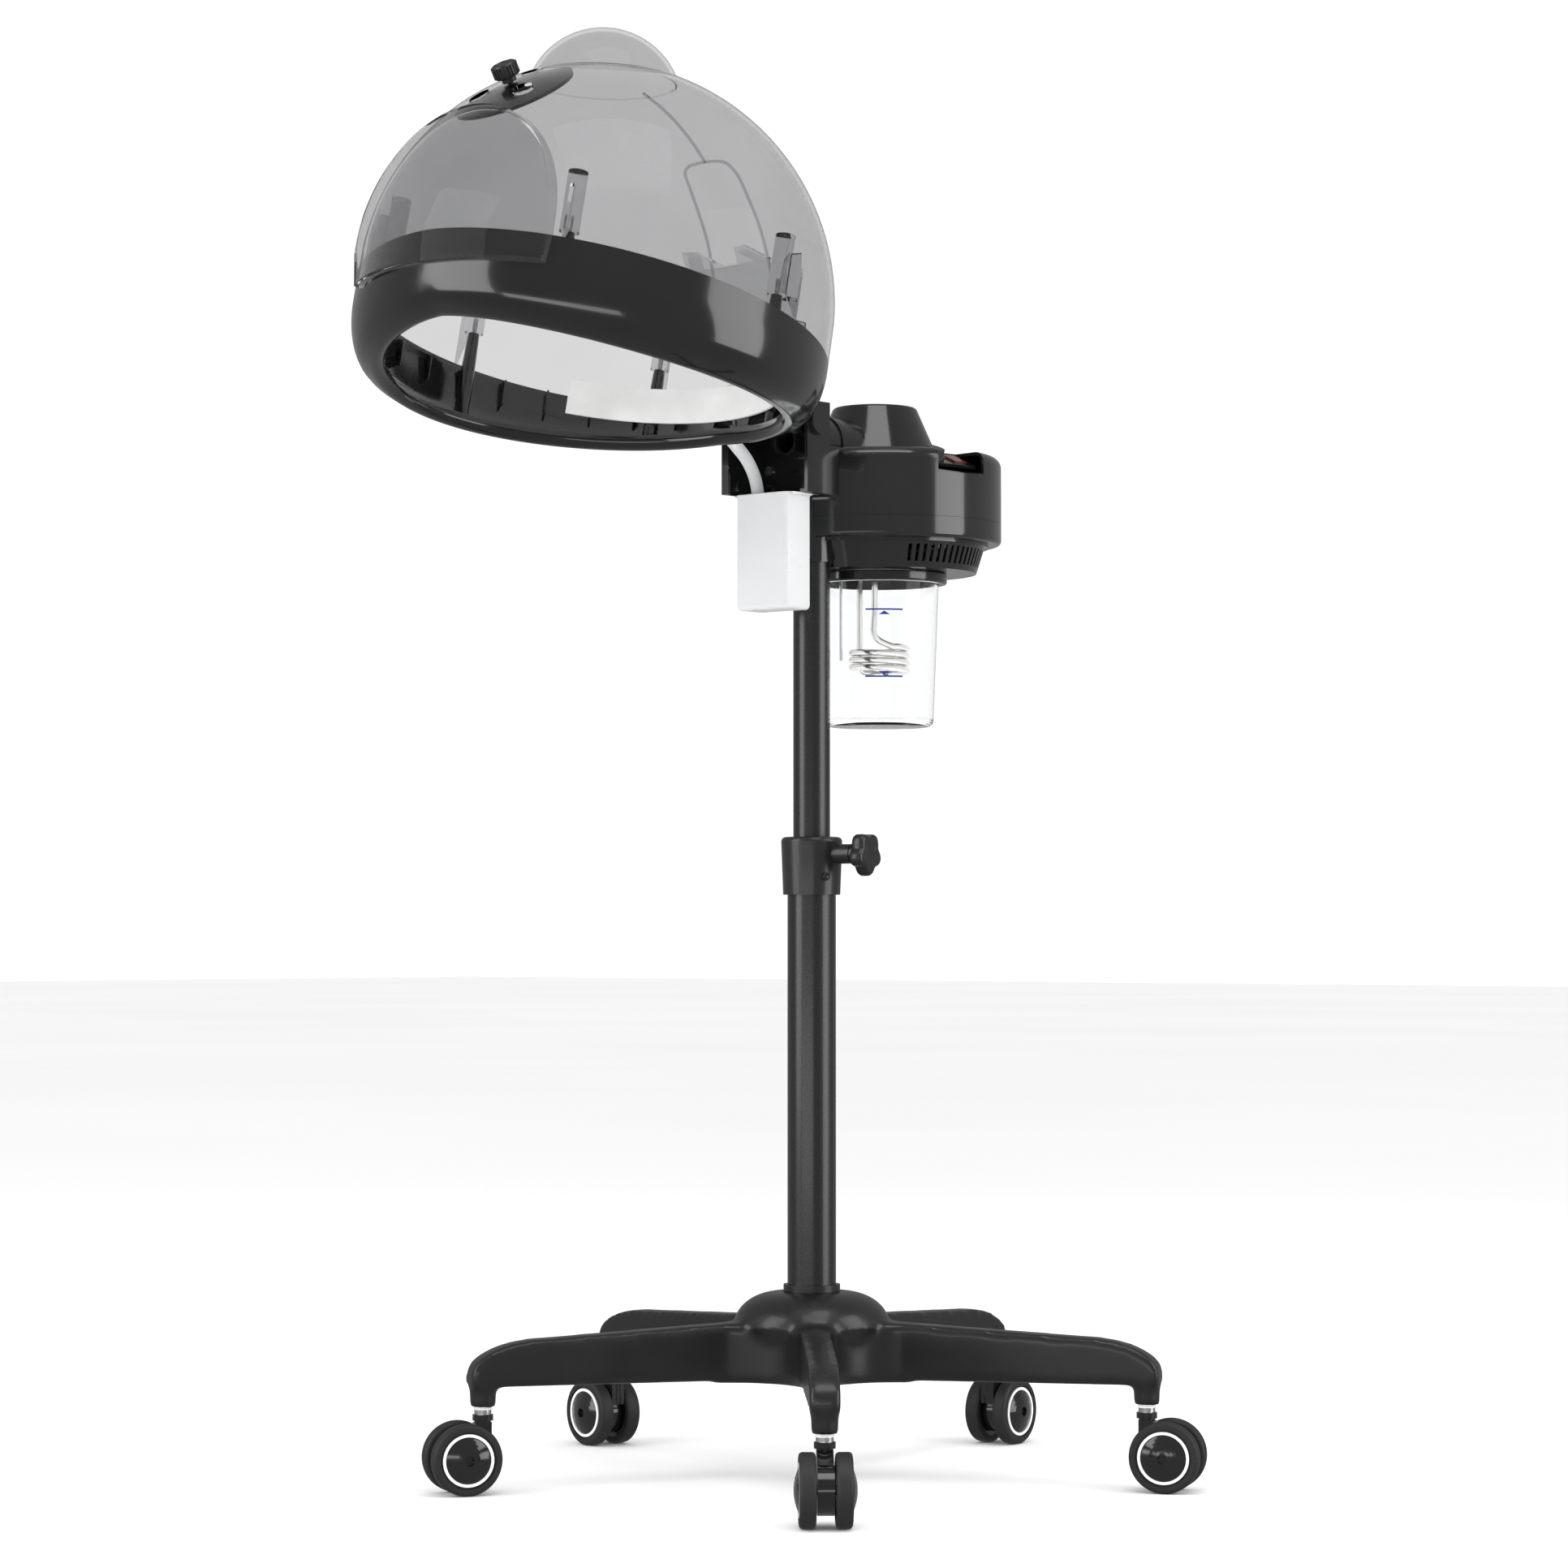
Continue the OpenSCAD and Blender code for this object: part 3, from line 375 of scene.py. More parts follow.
def turned_faces(segments: int, count: int, closed: bool = True) -> list[list[int]]:
    """Returns the faces between sections set round an axis.

    Args:
        segments: the number of sections, the last of which joins the first.
        count: the number of points in each section.
        closed: whether a section's last point joins its first.

    Returns:
        The faces.
    """
    faces = []
    for s in range(segments):
        t = (s + 1) % segments
        for k in range(count if closed else count - 1):
            m = (k + 1) % count
            faces.append([s * count + k, t * count + k, t * count + m, s * count + m])
    return faces


def stacked_faces(rows: int, steps: int) -> list[list[int]]:
    """Returns the faces between stacked rings of so many steps, with the first ring closed."""
    faces = []
    for i in range(rows - 1):
        for s in range(steps):
            t = (s + 1) % steps
            faces.append([i * steps + s, i * steps + t, (i + 1) * steps + t, (i + 1) * steps + s])
    faces.append(list(range(steps))[::-1])
    return faces


def lathe(profile: Sequence[tuple[float, float]], segments: int = 96, closed: bool = True,
          place: Matrix | None = None) -> tuple[list[Vector], list[list[int]]]:
    """Turns a profile about the Z axis.

    Args:
        profile: (radius, height) points.
        segments: the number of steps round.
        closed: whether the profile's last point joins its first.
        place: where the result goes.

    Returns:
        The points and faces.
    """
    place = place or Matrix.Identity(4)
    verts = []
    for s in range(segments):
        a = math.tau * s / segments
        verts += [place @ Vector((r * math.cos(a), r * math.sin(a), z)) for r, z in profile]
    return verts, turned_faces(segments, len(profile), closed)


def sweep(path: Sequence[Vector], radius: float, sides: int = 20) -> tuple[list[Vector], list[list[int]]]:
    """Sweeps a round section along a path, with its ends closed.

    Args:
        path: the centre line's points.
        radius: the section's radius.
        sides: the number of sides.

    Returns:
        The points and faces.
    """
    count = len(path)
    tangents = [(path[min(i + 1, count - 1)] - path[max(i - 1, 0)]).normalized() for i in range(count)]
    normal = tangents[0].orthogonal().normalized()
    verts: list[Vector] = []
    for point, tangent in zip(path, tangents):
        normal = (normal - tangent * normal.dot(tangent)).normalized()
        side = tangent.cross(normal)
        for s in range(sides):
            a = math.tau * s / sides
            verts.append(point + radius * (math.cos(a) * normal + math.sin(a) * side))
    faces = [[i * sides + s, (i + 1) * sides + s, (i + 1) * sides + (s + 1) % sides, i * sides + (s + 1) % sides]
             for i in range(count - 1) for s in range(sides)]
    faces.append(list(range(sides))[::-1])
    faces.append([(count - 1) * sides + s for s in range(sides)])
    return verts, faces


def smooth_path(points: Sequence[Sequence[float]], steps: int = 6) -> list[Vector]:
    """Returns a Catmull-Rom curve through the points, with so many steps between two of them."""
    pts = [Vector(p) for p in points]
    pts = [2 * pts[0] - pts[1], *pts, 2 * pts[-1] - pts[-2]]
    out = []
    for i in range(1, len(pts) - 2):
        a, b, c, d = pts[i - 1:i + 3]
        for s in range(steps):
            t = s / steps
            out.append(0.5 * (2 * b + (c - a) * t + (2 * a - 5 * b + 4 * c - d) * t * t
                              + (3 * b - a - 3 * c + d) * t ** 3))
    return [*out, pts[-2]]


def bake_modifiers(obj: bpy.types.Object) -> None:
    """Turns a piece's modifiers into plain mesh and removes them."""
    depsgraph = bpy.context.evaluated_depsgraph_get()
    mesh = bpy.data.meshes.new_from_object(obj.evaluated_get(depsgraph), depsgraph=depsgraph)
    obj.modifiers.clear()
    obj.data = mesh


def cad_copy(node: str, name: str) -> bpy.types.Object:
    """Returns a merged copy of a CAD node's mesh as a new piece."""
    source = frame["nodes"][node]
    obj = bpy.data.objects.new(name, source.data.copy())
    bpy.context.scene.collection.objects.link(obj)
    tidy_mesh(obj, outward=False)
    return obj


def round_edges(obj: bpy.types.Object, width: float, angle: float = 40.0) -> None:
    """Rounds a piece's edges that are sharper than an angle, as plain mesh."""
    bevel = obj.modifiers.new("bevel", "BEVEL")
    bevel.width = width
    bevel.segments = 3
    bevel.limit_method = "ANGLE"
    bevel.angle_limit = math.radians(angle)
    bake_modifiers(obj)


def plate(name: str, outline: Sequence[tuple[float, float]], x0: float, x1: float, slot: str,
          edge: float) -> bpy.types.Object:
    """Makes a flat plate across X from an outline, with rounded edges.

    Args:
        name: the piece's name.
        outline: its (y, z) points, in order.
        x0: its lower X.
        x1: its upper X.
        slot: its material slot.
        edge: its edges' radius.

    Returns:
        The piece.
    """
    n = len(outline)
    verts = [(x, y, z) for x in (x0, x1) for y, z in outline]
    faces = [list(range(n))[::-1], list(range(n, 2 * n))]
    faces += [[i, (i + 1) % n, n + (i + 1) % n, n + i] for i in range(n)]
    obj = mesh_piece(name, verts, faces, slot)
    round_edges(obj, edge)
    dress(obj, slot)
    return obj


def block(name: str, low: Point, high: Point, slot: str, edge: float) -> bpy.types.Object:
    """Makes a block between two corners, with rounded edges, and returns it."""
    outline = [(low[1], low[2]), (high[1], low[2]), (high[1], high[2]), (low[1], high[2])]
    return plate(name, outline, low[0], high[0], slot, edge)


def repeat_round(name: str, template: bpy.types.Object, count: int, radius: float, slot: str) -> bpy.types.Object:
    """Repeats a small piece round the Z axis with Geometry Nodes, and keeps the result as plain mesh.

    Args:
        name: the new piece's name.
        template: the piece to repeat, made about the origin; it is removed.
        count: the number of copies.
        radius: their distance from the axis.
        slot: their material slot.

    Returns:
        The piece that holds every copy.
    """
    group = bpy.data.node_groups.new(name + "_nodes", "GeometryNodeTree")
    made: dict[str, str] = {}
    for label, kind in (("Template", "NodeSocketObject"), ("Count", "NodeSocketInt"), ("Radius", "NodeSocketFloat"),
                        ("Material", "NodeSocketMaterial")):
        made[label] = group.interface.new_socket(label, in_out="INPUT", socket_type=kind).identifier
    group.interface.new_socket("Geometry", in_out="OUTPUT", socket_type="NodeSocketGeometry")
    source = group.nodes.new("NodeGroupInput")
    circle = group.nodes.new("GeometryNodeMeshCircle")
    info = group.nodes.new("GeometryNodeObjectInfo")
    put = group.nodes.new("GeometryNodeInstanceOnPoints")
    place = group.nodes.new("GeometryNodeInputPosition")
    align = group.nodes.new("FunctionNodeAlignEulerToVector")
    real = group.nodes.new("GeometryNodeRealizeInstances")
    paint = group.nodes.new("GeometryNodeSetMaterial")
    out = group.nodes.new("NodeGroupOutput")
    align.axis = "X"
    align.pivot_axis = "Z"
    for start, end in ((source.outputs["Template"], info.inputs["Object"]),
                       (source.outputs["Count"], circle.inputs["Vertices"]),
                       (source.outputs["Radius"], circle.inputs["Radius"]),
                       (circle.outputs["Mesh"], put.inputs["Points"]),
                       (info.outputs["Geometry"], put.inputs["Instance"]),
                       (place.outputs["Position"], align.inputs["Vector"]),
                       (align.outputs["Rotation"], put.inputs["Rotation"]),
                       (put.outputs["Instances"], real.inputs["Geometry"]),
                       (real.outputs["Geometry"], paint.inputs["Geometry"]),
                       (source.outputs["Material"], paint.inputs["Material"]),
                       (paint.outputs["Geometry"], out.inputs["Geometry"])):
        group.links.new(start, end)
    obj = bpy.data.objects.new(name, bpy.data.meshes.new(name))
    bpy.context.scene.collection.objects.link(obj)
    modifier = obj.modifiers.new("repeat", "NODES")
    modifier.node_group = group
    modifier[made["Template"]] = template
    modifier[made["Count"]] = count
    modifier[made["Radius"]] = radius
    modifier[made["Material"]] = finish(slot)
    bake_modifiers(obj)
    bpy.data.objects.remove(template, do_unlink=True)
    dress(obj, slot)
    return obj


# ------------------------------------------------------------------ sub-assemblies


@dataclass
class RollingBase:
    """The five-arm star, moulded in one piece with rounded edges and soft webs at the hub."""

    voxel: float = 0.0024
    rounds: int = 20

    def build(self) -> None:
        """Replaces the plain star by a rounded one."""
        star = cad_copy("base_star", "star_moulding")
        remesh = star.modifiers.new("remesh", "REMESH")
        remesh.mode = "VOXEL"
        remesh.voxel_size = self.voxel
        relax = star.modifiers.new("relax", "SMOOTH")
        relax.factor = 0.5
        relax.iterations = self.rounds
        bake_modifiers(star)
        dress(star, "base_plastic", 80.0)
        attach(star, "base")
        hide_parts("base_star")
        LOG.info("star moulding: %d faces", len(star.data.polygons))


@dataclass
class ClampKnob:
    """The five-lobed grip that clamps the upper tube, with a screw set in the collar below it."""

    angle: float = 8.0
    face: float = 0.0475
    height: float = 0.538
    radius: float = 0.0193
    sunk: float = 0.005
    steps: int = 120
    lobed_from: float = 0.45
    screw_angle: float = -22.0
    screw_reach: float = 0.0262
    screw_height: float = 0.5185

    def outline(self, angle: float) -> float:
        """Returns the grip's radius at an angle about its own axis."""
        wave = 0.5 + 0.5 * math.cos(5 * angle)
        return self.radius * (0.78 + 0.22 * wave ** 0.8)

    @staticmethod
    def facing(angle: float, reach: float, height: float) -> Matrix:
        """Returns a place whose Z axis points away from the pole, at an angle in degrees."""
        return (Matrix.Rotation(math.radians(angle), 4, "Z") @ Matrix.Translation((reach, 0, height))
                @ Matrix.Rotation(math.pi / 2, 4, "Y"))

    def build(self) -> None:
        """Makes the grip and the collar's screw."""
        place = self.facing(self.angle, self.face - self.sunk, self.height)
        rows = [(0.0, 0.3), (0.0, 0.44), (0.0046, 0.44), (0.0052, 0.8), (0.0064, 0.93), (0.0082, 0.99), (0.012, 1.0),
                (0.0150, 0.99), (0.0168, 0.94), (0.0178, 0.84), (0.018, 0.6), (0.0174, 0.5), (0.0172, 0.0)]
        verts = []
        for z, share in rows:
            for s in range(self.steps):
                a = math.tau * s / self.steps
                r = (self.outline(a) if share > self.lobed_from else self.radius) * share
                verts.append(place @ Vector((r * math.cos(a), r * math.sin(a), z)))
        grip = mesh_piece("clamp_grip", verts, stacked_faces(len(rows), self.steps), "knob_plastic", 50.0)
        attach(grip, "knob")
        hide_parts("clamp_knob")
        head = [(0.0, 0.0022), (0.0022, 0.002), (0.0034, 0.0012), (0.0036, 0.0), (0.0036, -0.003), (0.0, -0.003)]
        place = self.facing(self.screw_angle, self.screw_reach, self.screw_height)
        screw = mesh_piece("collar_screw", *lathe(head, 32, False, place), "collar_plastic")
        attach(screw, "base")
        LOG.info("clamp grip and collar screw")


@dataclass
class Heater:
    """The bright coil in the jar, with its two legs."""

    coil_radius: float = 0.0245
    tube: float = 0.0028
    turns: float = 3.5
    top: float = 0.7227
    pitch: float = 0.0064
    flange: float = 0.7898
    first_leg: float = -60.0
    steps: int = 110
    leg_out: float = 0.0076

    def build(self) -> None:
        """Makes the coil and its legs as one smooth tube."""
        path = []
        first = math.radians(self.first_leg)
        last = first + math.tau * self.turns
        start = Vector((math.cos(first), math.sin(first), 0.0)) * self.coil_radius
        for z in (self.flange, self.top + 0.03, self.top + 0.008):
            path.append(Vector((start.x, start.y, z)))
        for i in range(3, self.steps + 1):
            a = first + (last - first) * i / self.steps
            path.append(Vector((self.coil_radius * math.cos(a), self.coil_radius * math.sin(a),
                                self.top - self.pitch * self.turns * i / self.steps)))
        outer = self.coil_radius + self.leg_out
        bottom = self.top - self.pitch * self.turns
        for s in (12, 24, 36):
            r = self.coil_radius + (outer - self.coil_radius) * s / 36
            a = last + math.radians(s)
            path.append(Vector((r * math.cos(a), r * math.sin(a), bottom + 0.001 * (s / 12 - 1))))
        a = last + math.radians(42.0)
        for z in (bottom + 0.008, bottom + 0.03, self.flange):
            path.append(Vector((outer * math.cos(a), outer * math.sin(a), z)))
        path = [DRUM_FRAME @ p for p in smooth_path(path, 3)]
        coil = mesh_piece("heater_tube", *sweep(path, self.tube, 16), "heater_steel", 60.0)
        disc = [(0.0, self.flange + 0.003), (0.048, self.flange + 0.003), (0.0488, self.flange + 0.0022),
                (0.0488, self.flange), (0.0, self.flange)]
        flange = mesh_piece("heater_flange", *lathe(disc, 72, False, DRUM_FRAME), "heater_steel")
        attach(coil, "head")
        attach(flange, "head")
        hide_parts("heater_coil")
        LOG.info("heater tube: %d faces", len(coil.data.polygons))


@dataclass
class LevelMarks:
    """Two printed level bars with arrowheads on the jar's face, with no lettering."""

    bearing: float = -46.0
    half_width: float = 0.0165
    high: float = 0.7525
    low: float = 0.694
    half_bar: float = 0.0007
    steps: int = 12
    jar_top: float = 0.7867
    jar_height: float = 0.135
    jar_radius: float = 0.054
    jar_taper: float = 0.006

    def build(self) -> None:
        """Makes both marks as thin printed patches that follow the jar's taper."""
        verts, faces = [], []

        def patch(corners: Sequence[tuple[float, float]]) -> None:
            """Adds a thin patch with its corners at (distance round the jar, height)."""
            base = len(verts)
            for across, z in corners:
                share = (self.jar_top - z) / self.jar_height
                r = self.jar_radius - self.jar_taper * share
                for lift in (0.00012, 0.0003):
                    a = math.radians(self.bearing) + across / r
                    verts.append(DRUM_FRAME @ Vector(((r + lift) * math.cos(a), (r + lift) * math.sin(a), z)))
            n = len(corners)
            faces.append([base + 2 * i for i in range(n)])
            faces.append([base + 2 * i + 1 for i in reversed(range(n))])
            for i in range(n):
                j = (i + 1) % n
                faces.append([base + 2 * i, base + 2 * i + 1, base + 2 * j + 1, base + 2 * j])

        for z, way in ((self.high, -1), (self.low, 1)):
            under, over = z - self.half_bar, z + self.half_bar
            for k in range(self.steps):
                x0 = -self.half_width + 2 * self.half_width * k / self.steps
                x1 = x0 + 2 * self.half_width / self.steps
                patch([(x0, under), (x1, under), (x1, over), (x0, over)])
            tip, foot = z + way * 0.0013, z + way * 0.0045
            patch([(-0.005, foot), (0.0, tip), (0.005, foot)])
        marks = mesh_piece("level_marks", verts, faces, "print_blue", 10.0)
        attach(marks, "jar")
        LOG.info("level marks")


@dataclass
class WasteBox:
    """The open box that hangs under the bracket, blow-moulded with rounded corners and a rolled rim."""

    half_x: float = 0.029
    half_y: float = 0.017
    centre_y: float = -0.051
    top: float = 0.8467
    height: float = 0.1
    wall: float = 0.0018
    corner: float = 0.005

    def ring(self, inset: float, z: float) -> list[Vector]:
        """Returns a rounded rectangle, inset from the outside, at a height."""
        corner = max(self.corner - inset, 0.0008)
        points = []
        for cx, cy, start in ((1, 1, 0), (-1, 1, 90), (-1, -1, 180), (1, -1, 270)):
            for k in range(7):
                a = math.radians(start + 15 * k)
                points.append(Vector((cx * (self.half_x - inset - corner) + corner * math.cos(a),
                                      self.centre_y + cy * (self.half_y - inset - corner) + corner * math.sin(a), z)))
        return points

    def build(self) -> None:
        """Makes the box's shell, outside and inside, and its two hanging lips."""
        floor = self.top - self.height
        rows = [(0.006, floor), (0.0025, floor + 0.0003), (0.0008, floor + 0.0015), (0.0, floor + 0.004),
                (0.0, floor + 0.03), (0.0, floor + 0.07), (0.0, self.top - 0.003), (-0.0006, self.top - 0.002),
                (-0.0006, self.top - 0.0005), (0.0, self.top), (self.wall * 0.7, self.top),
                (self.wall, self.top - 0.0006), (self.wall, floor + 0.006), (self.wall + 0.001, floor + 0.0032),
                (0.007, floor + self.wall)]
        rings = [self.ring(inset, z) for inset, z in rows]
        verts, count = sum(rings, []), len(rings[0])
        faces = stacked_faces(len(rows), count)
        faces.append([(len(rows) - 1) * count + s for s in range(count)])
        box = mesh_piece("waste_box_shell", verts, faces, "box_plastic", 40.0)
        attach(box, "drip_box")
        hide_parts("waste_box")
        for side, sign in (("left", -1), ("right", 1)):
            x0, x1 = sorted((sign * (self.half_x - 0.0002), sign * (self.half_x + 0.004)))
            lip = block(f"waste_box_lip_{side}", (x0, self.centre_y - self.half_y + 0.004, self.top - 0.002),
                        (x1, self.centre_y + self.half_y - 0.004, self.top), "box_plastic", 0.0006)
            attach(lip, "drip_box")
        LOG.info("waste box")


@dataclass
class SteamHood:
    """The tilting hood: gloss collar with a rolled lip, clear dome, raised window, posts, ribs and vent."""

    segments: int = 192
    ribs: int = 30
    seam_drop: float = 0.015
    seam_lean: float = 0.010
    side_dip: float = 0.018
    post_circle: float = 0.172
    rib_circle: float = 0.1872
    dome_edge: float = 0.1905
    window_foot: float = 0.022
    ridge_radius: float = 0.1914
    knurls: int = 24

    def dip(self, angle: float) -> float:
        """Returns how much deeper the collar hangs at an angle round the hood: most beside the ears."""
        return 0.003 + self.side_dip * abs(math.cos(angle)) ** 1.2 * (1.0 - 0.35 * math.sin(angle))

    def seam(self, angle: float) -> float:
        """Returns the height of the joint between collar and dome at an angle round the hood."""
        return -self.seam_drop - self.seam_lean * math.sin(angle) - 0.35 * self.dip(angle)

    @staticmethod
    def wall(z: float, dip: float) -> float:
        """Returns the collar's outer radius at a height, where it hangs deeper by dip."""
        if z > -0.018 - dip:
            return HOOD_RADIUS
        share = min(1.0, (-0.018 - dip - z) / 0.044)
        return HOOD_RADIUS - 0.020 * (1.0 - math.sqrt(1.0 - share * share))

    def section(self, angle: float) -> list[tuple[float, float]]:
        """Returns the collar's closed section, (radius, height), at an angle round the hood."""
        seam, dip = self.seam(angle), self.dip(angle)
        bottom = -0.0605 - dip
        outer = [(self.wall(z, dip), z) for z in (seam + (bottom - seam) * k / 16 for k in range(17))]
        roll = [(0.1748, -0.0638), (0.1712, -0.0656), (0.1676, -0.0652), (0.1645, -0.0631), (0.1626, -0.0598),
                (0.1624, -0.0563), (0.1636, -0.0537), (0.1654, -0.0532), (0.1668, -0.0548), (0.1684, -0.0576),
                (0.1712, -0.0586), (0.1754, -0.0556), (0.1812, -0.0486), (0.1874, -0.038)]
        inner = [(HOOD_RADIUS - 0.0034 - 0.0022 * k / 3, seam - 0.001 - 0.012 * k / 3) for k in range(4)]
        return [*outer, *((r, z - dip) for r, z in roll), *inner[::-1], (HOOD_RADIUS - 0.0026, seam)]

    def collar(self) -> bpy.types.Object:
        """Makes the collar, which rides on the hood."""
        verts = []
        for s in range(self.segments):
            a = math.tau * s / self.segments
            verts += [HOOD_FRAME @ Vector((r * math.cos(a), r * math.sin(a), z)) for r, z in self.section(a)]
        faces = turned_faces(self.segments, len(self.section(0.0)))
        collar = mesh_piece("collar_shell", verts, faces, "hood_black", 40.0)
        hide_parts("hood_collar")
        return collar

    def ears(self) -> list[bpy.types.Object]:
        """Makes the two ears that reach the hinge pins."""
        arc = [(HINGE_Y + 0.011 * math.sin(math.radians(a)), HINGE_Z - 0.011 * math.cos(math.radians(a)))
               for a in range(0, 181, 12)]
        outline = [*arc, (-0.094, HINGE_Z + 0.022), (-0.101, HINGE_Z - 0.014)]
        made = []
        for name, x in (("left", -0.030), ("right", 0.024)):
            made.append(plate(f"hood_ear_{name}", outline, x, x + 0.006, "hood_black", 0.0008))
        return made

    def posts(self) -> bpy.types.Object:
        """Makes the six tapered posts that carry the dome."""
        verts: list[Vector] = []
        faces: list[list[int]] = []
        for angle in POST_ANGLES:
            a = math.radians(angle)
            foot = -0.0585 - self.dip(a)
            profile = [(0.0, foot), (0.0062, foot), (0.0066, foot + 0.0025), (0.0058, -0.03), (0.005, -0.004),
                       (0.0046, -0.0006), (0.0036, -0.0002), (0.0, -0.0002)]
            centre = (self.post_circle * math.cos(a), self.post_circle * math.sin(a), 0.0)
            place = HOOD_FRAME @ Matrix.Translation(centre)
            v, f = lathe(profile, 24, False, place)
            faces += [[i + len(verts) for i in face] for face in f]
            verts += v
        return mesh_piece("collar_posts", verts, faces, "hood_black")

    def inner_ribs(self) -> bpy.types.Object:
        """Makes the ribs on the collar's inner wall with Geometry Nodes."""
        rib = block("rib_template", (-0.0035, -0.0008, -0.05), (0.0035, 0.0008, -0.027), "hood_black", 0.0003)
        ribs = repeat_round("collar_ribs", rib, self.ribs, self.rib_circle, "hood_black")
        ribs.data.transform(HOOD_FRAME)
        return ribs

    def dome(self) -> bpy.types.Object:
        """Makes the dome: the frame's shape with its lower edge carried down to the collar's joint."""
        dome = cad_copy("hood_dome", "dome_shell")
        into = HOOD_FRAME.inverted() @ dome.matrix_world
        back = into.inverted()
        for vert in dome.data.vertices:
            p = into @ vert.co
            if p.z < 0.0006 and math.hypot(p.x, p.y) > self.dome_edge:
                p.z = self.seam(math.atan2(p.y, p.x)) - 0.0005
                vert.co = back @ p
        dress(dome, "smoke_clear", 30.0)
        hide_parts("hood_dome")
        return dome

    def window(self) -> bpy.types.Object:
        """Makes the raised window, whose flat foot laps over the collar."""
        window = cad_copy("front_window", "window_shell")
        into = HOOD_FRAME.inverted() @ window.matrix_world
        back = into.inverted()
        for vert in window.data.vertices:
            p = into @ vert.co
            if p.z < -0.008:
                p = Vector((0.981 * p.x, 0.981 * p.y, p.z - self.window_foot))
                vert.co = back @ p
        dress(window, "smoke_clear", 30.0)
        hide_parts("front_window")
        return window

    def duct_ridge(self) -> bpy.types.Object:
        """Makes the moulded edge of the rear channel and the ridge from it up to the crest, inside the dome."""
        edge = [(-0.035, 6.0), (-0.033, 20.0), (-0.031, 36.0), (-0.029, 50.0), (-0.0265, 55.0), (-0.02, 57.0),
                (-0.008, 57.5)]
        edge += [(-x, e) for x, e in reversed(edge)]
        ridge = [(0.0, 57.5), (0.0, 64.0), (0.0, 71.0), (0.0, 78.0), (0.0, 85.0)]
        verts: list[Vector] = []
        faces: list[list[int]] = []
        for line in (edge, ridge):
            points = []
            for x, elevation in line:
                e, reach = math.radians(elevation), math.sqrt(self.ridge_radius ** 2 - x * x)
                points.append(HOOD_FRAME @ Vector((x, reach * math.cos(e), reach * math.sin(e))))
            v, f = sweep(smooth_path(points, 5), 0.0013, 8)
            faces += [[i + len(verts) for i in face] for face in f]
            verts += v
        return mesh_piece("duct_ridges", verts, faces, "smoke_clear", 60.0)

    def vent_grip(self) -> None:
        """Makes the vent's knurled knob, whose ribs are repeated by Geometry Nodes."""
        seat = HOOD_RADIUS + 0.0004
        profile = [(0.0, -0.0095), (0.0078, -0.0095), (0.0078, -0.0068), (0.003, -0.0066), (0.003, -0.0002),
                   (0.006, 0.0), (0.006, 0.0042), (0.0096, 0.0044), (0.0102, 0.0052), (0.0102, 0.0146),
                   (0.0094, 0.0156), (0.0078, 0.016), (0.0072, 0.0152), (0.0, 0.015)]
        place = VENT_FRAME @ Matrix.Translation((0, 0, seat))
        knob = mesh_piece("vent_grip", *lathe(profile, 72, False, place), "knob_plastic")
        rib = block("knurl_template", (-0.0007, -0.0008, 0.0052), (0.0007, 0.0008, 0.0148), "knob_plastic", 0.0004)
        ribs = repeat_round("vent_grip_ribs", rib, self.knurls, 0.0103, "knob_plastic")
        ribs.data.transform(place)
        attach(ribs, "vent")
        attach(knob, "vent")
        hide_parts("vent_knob")

    def build(self) -> None:
        """Makes every hood piece and lets it ride on the hood."""
        pieces = [self.collar(), *self.ears(), self.posts(), self.inner_ribs(), self.dome(), self.window(),
                  self.duct_ridge()]
        for piece in pieces:
            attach(piece, "hood")
            LOG.info("%s: %d faces", piece.name, len(piece.data.polygons))
        self.vent_grip()


@dataclass
class DrainHose:
    """The clear silicone hose from the collar's spigot down into the waste box."""

    diameter: float = 0.011
    route: list[Point] = field(default_factory=lambda: [
        (-13.5, -95.7, 894.8), (-13.5, -91, 891.5), (-13.5, -86.5, 888.3), (-13.5, -81.8, 884.9),
        (-13.5, -77, 881.5), (-13.5, -73.5, 878.7), (-13.5, -70.4, 875.8), (-13.4, -67.4, 872.4),
        (-13.3, -64.8, 868.9), (-13.2, -62.3, 865), (-13, -60.3, 860.8), (-13, -58.5, 856.3),
        (-13, -57.2, 851.5), (-13, -56.3, 846.3), (-13, -56, 841), (-13, -56, 836), (-13, -56, 831)])

    def build(self) -> None:
        """Makes the hose as one tube along a fixed, curved route from the hood down to the head."""
        path = smooth_path([Vector(p) * MM for p in self.route], 4)
        hose = mesh_piece("drain_hose_tube", *sweep(path, self.diameter / 2), "hose_clear", 60.0)
        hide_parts("drain_hose")
        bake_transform(hose)


def dress_frame() -> None:
    """Gives every CAD node that still shows its procedural finish."""
    slots = {p["node"]: p["material_slot"] for p in frame["record"]["subparts"]}
    slots["steam_duct"] = "duct_clear"
    for name, obj in frame["nodes"].items():
        if obj.hide_render:
            continue
        if not obj.data.materials:
            obj.data.materials.append(None)
        for i in range(len(obj.data.materials)):
            obj.data.materials[i] = finish(slots[name])
        LOG.info("frame node %s: %s", name, slots[name])


# ------------------------------------------------------------------ camera, light, floor


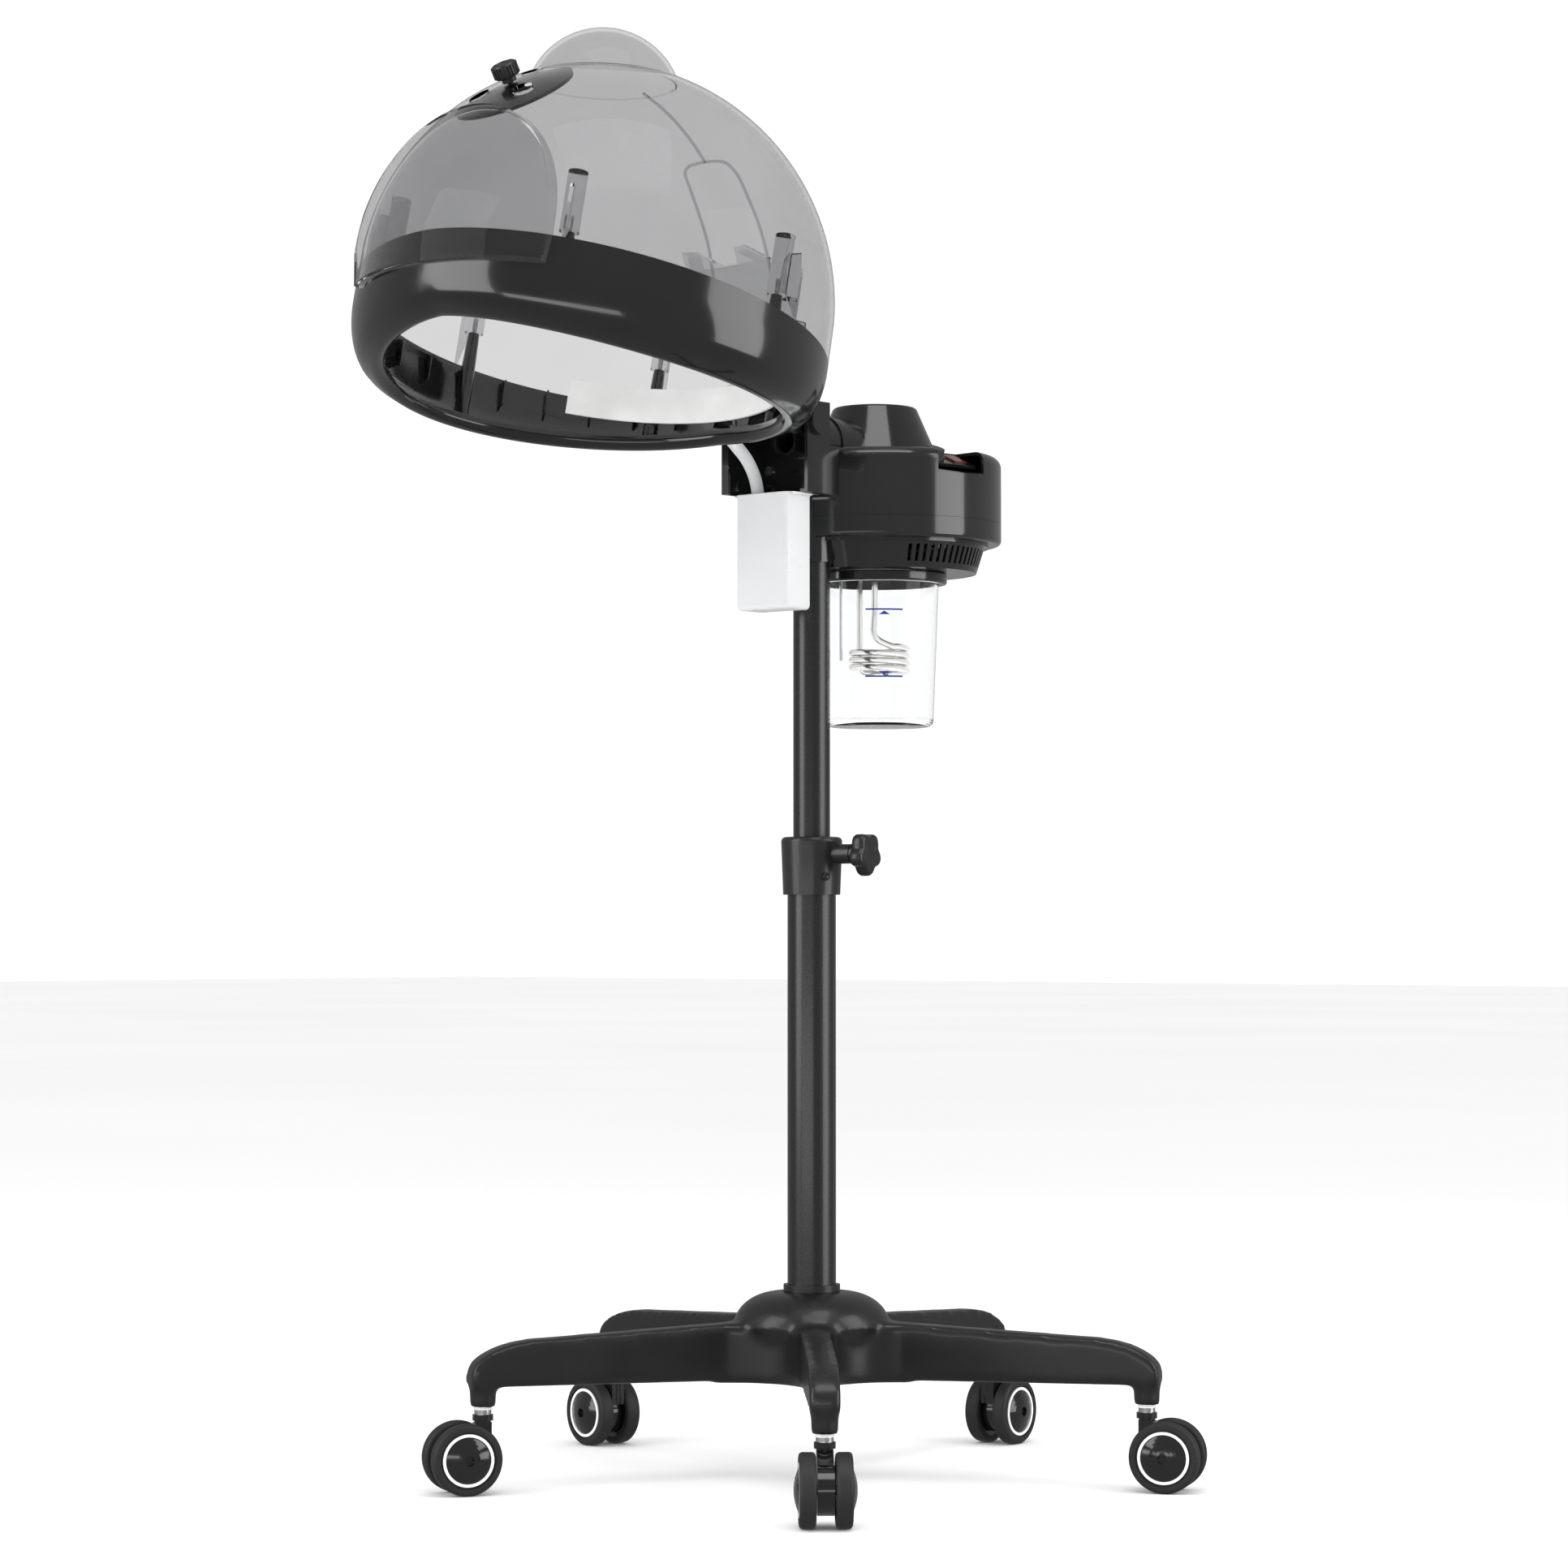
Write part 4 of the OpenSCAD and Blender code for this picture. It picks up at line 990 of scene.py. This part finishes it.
@dataclass
class Studio:
    """A white sweep, soft boxes and the camera."""

    azimuth: float = 40.0
    distance: float = 3.7
    camera_height: float = 0.47
    aim_height: float = 0.599
    aim_side: float = -0.024
    lens: float = 98.0
    sky: float = 0.3

    def camera(self) -> None:
        """Places the camera low in front, to the right of the hood's axis."""
        a = math.radians(self.azimuth)
        side = Vector((math.cos(a), math.sin(a), 0.0))
        back = Vector((math.sin(a), -math.cos(a), 0.0))
        eye = back * self.distance + Vector((0.0, 0.0, self.camera_height))
        aim = side * self.aim_side + Vector((0.0, 0.0, self.aim_height))
        data = bpy.data.cameras.new("camera")
        data.lens = self.lens
        data.sensor_width = 36.0
        data.clip_end = 50.0
        obj = bpy.data.objects.new("camera", data)
        obj.location = eye
        obj.rotation_euler = (aim - eye).to_track_quat("-Z", "Y").to_euler()
        bpy.context.scene.collection.objects.link(obj)
        bpy.context.scene.camera = obj

    def soft_box(self, name: str, place: Point, size: tuple[float, float], power: float) -> None:
        """Adds a rectangular light that faces the hood steamer.

        Args:
            name: the light's name.
            place: (azimuth in degrees, distance, height).
            size: its width and height.
            power: its power in watts.
        """
        turn, distance, height = place
        a = math.radians(self.azimuth + turn)
        data = bpy.data.lights.new(name, "AREA")
        data.shape = "RECTANGLE"
        data.size, data.size_y = size
        data.energy = power
        obj = bpy.data.objects.new(name, data)
        obj.location = (distance * math.sin(a), -distance * math.cos(a), height)
        aim = Vector((0.0, -0.05, 0.65))
        obj.rotation_euler = (aim - obj.location).to_track_quat("-Z", "Y").to_euler()
        obj.visible_transmission = False
        bpy.context.scene.collection.objects.link(obj)

    def floor(self) -> None:
        """Adds the pale floor, which is part of the stage."""
        reach = 30.0
        mesh = bpy.data.meshes.new("floor")
        mesh.from_pydata([(-reach, -reach, 0), (reach, -reach, 0), (reach, reach, 0), (-reach, reach, 0)], [],
                         [(0, 1, 2, 3)])
        floor = bpy.data.objects.new("floor", mesh)
        bpy.context.scene.collection.objects.link(floor)
        n = Nodes("floor_white")
        n.tint(n.noise(0.4, 2.0), (0.9, 0.9, 0.9), (0.93, 0.93, 0.93))
        n.set(Roughness=0.75, Specular_IOR_Level=0.2)
        mesh.materials.append(n.material)
        floor.visible_glossy = False

    def build(self) -> None:
        """Sets up the floor, the sky and the lights."""
        self.floor()
        world = bpy.data.worlds.new("studio_white")
        bpy.context.scene.world = world
        world.use_nodes = True
        tree = world.node_tree
        seen = tree.nodes["Background"]
        seen.inputs["Color"].default_value = (1.0, 1.0, 1.0, 1.0)
        seen.inputs["Strength"].default_value = 1.08
        lit = tree.nodes.new("ShaderNodeBackground")
        lit.inputs["Color"].default_value = (1.0, 1.0, 1.0, 1.0)
        lit.inputs["Strength"].default_value = self.sky
        rays = tree.nodes.new("ShaderNodeLightPath")
        mirrored = tree.nodes.new("ShaderNodeMath")
        mirrored.operation = "SUBTRACT"
        mirrored.use_clamp = True
        either = tree.nodes.new("ShaderNodeMath")
        either.operation = "SUBTRACT"
        either.inputs[0].default_value = 1.0
        mix = tree.nodes.new("ShaderNodeMixShader")
        for start, end in ((rays.outputs["Is Glossy Ray"], mirrored.inputs[0]),
                           (rays.outputs["Is Transmission Ray"], mirrored.inputs[1]),
                           (mirrored.outputs[0], either.inputs[1]),
                           (either.outputs[0], mix.inputs[0]), (lit.outputs[0], mix.inputs[1]),
                           (seen.outputs[0], mix.inputs[2]),
                           (mix.outputs[0], tree.nodes["World Output"].inputs["Surface"])):
            tree.links.new(start, end)
        bpy.context.scene.view_settings.view_transform = "Standard"
        self.soft_box("key_box", (-64.0, 3.0, 1.5), (1.7, 2.8), 48.0)
        self.soft_box("side_box", (70.0, 2.6, 1.2), (1.5, 2.8), 40.0)
        self.soft_box("top_box", (10.0, 1.2, 3.2), (1.8, 1.8), 30.0)
        self.soft_box("low_box", (-20.0, 2.6, 0.22), (2.6, 0.3), 7.0)


def main() -> None:
    """Builds the studio and every sub-assembly."""
    logging.basicConfig(level=logging.INFO, format="%(name)s: %(message)s")
    studio = Studio()
    studio.camera()
    studio.build()
    for assembly in (RollingBase(), ClampKnob(), Heater(), LevelMarks(), WasteBox(), SteamHood(), DrainHose()):
        assembly.build()
    dress_frame()


if __name__ == "__main__":
    main()
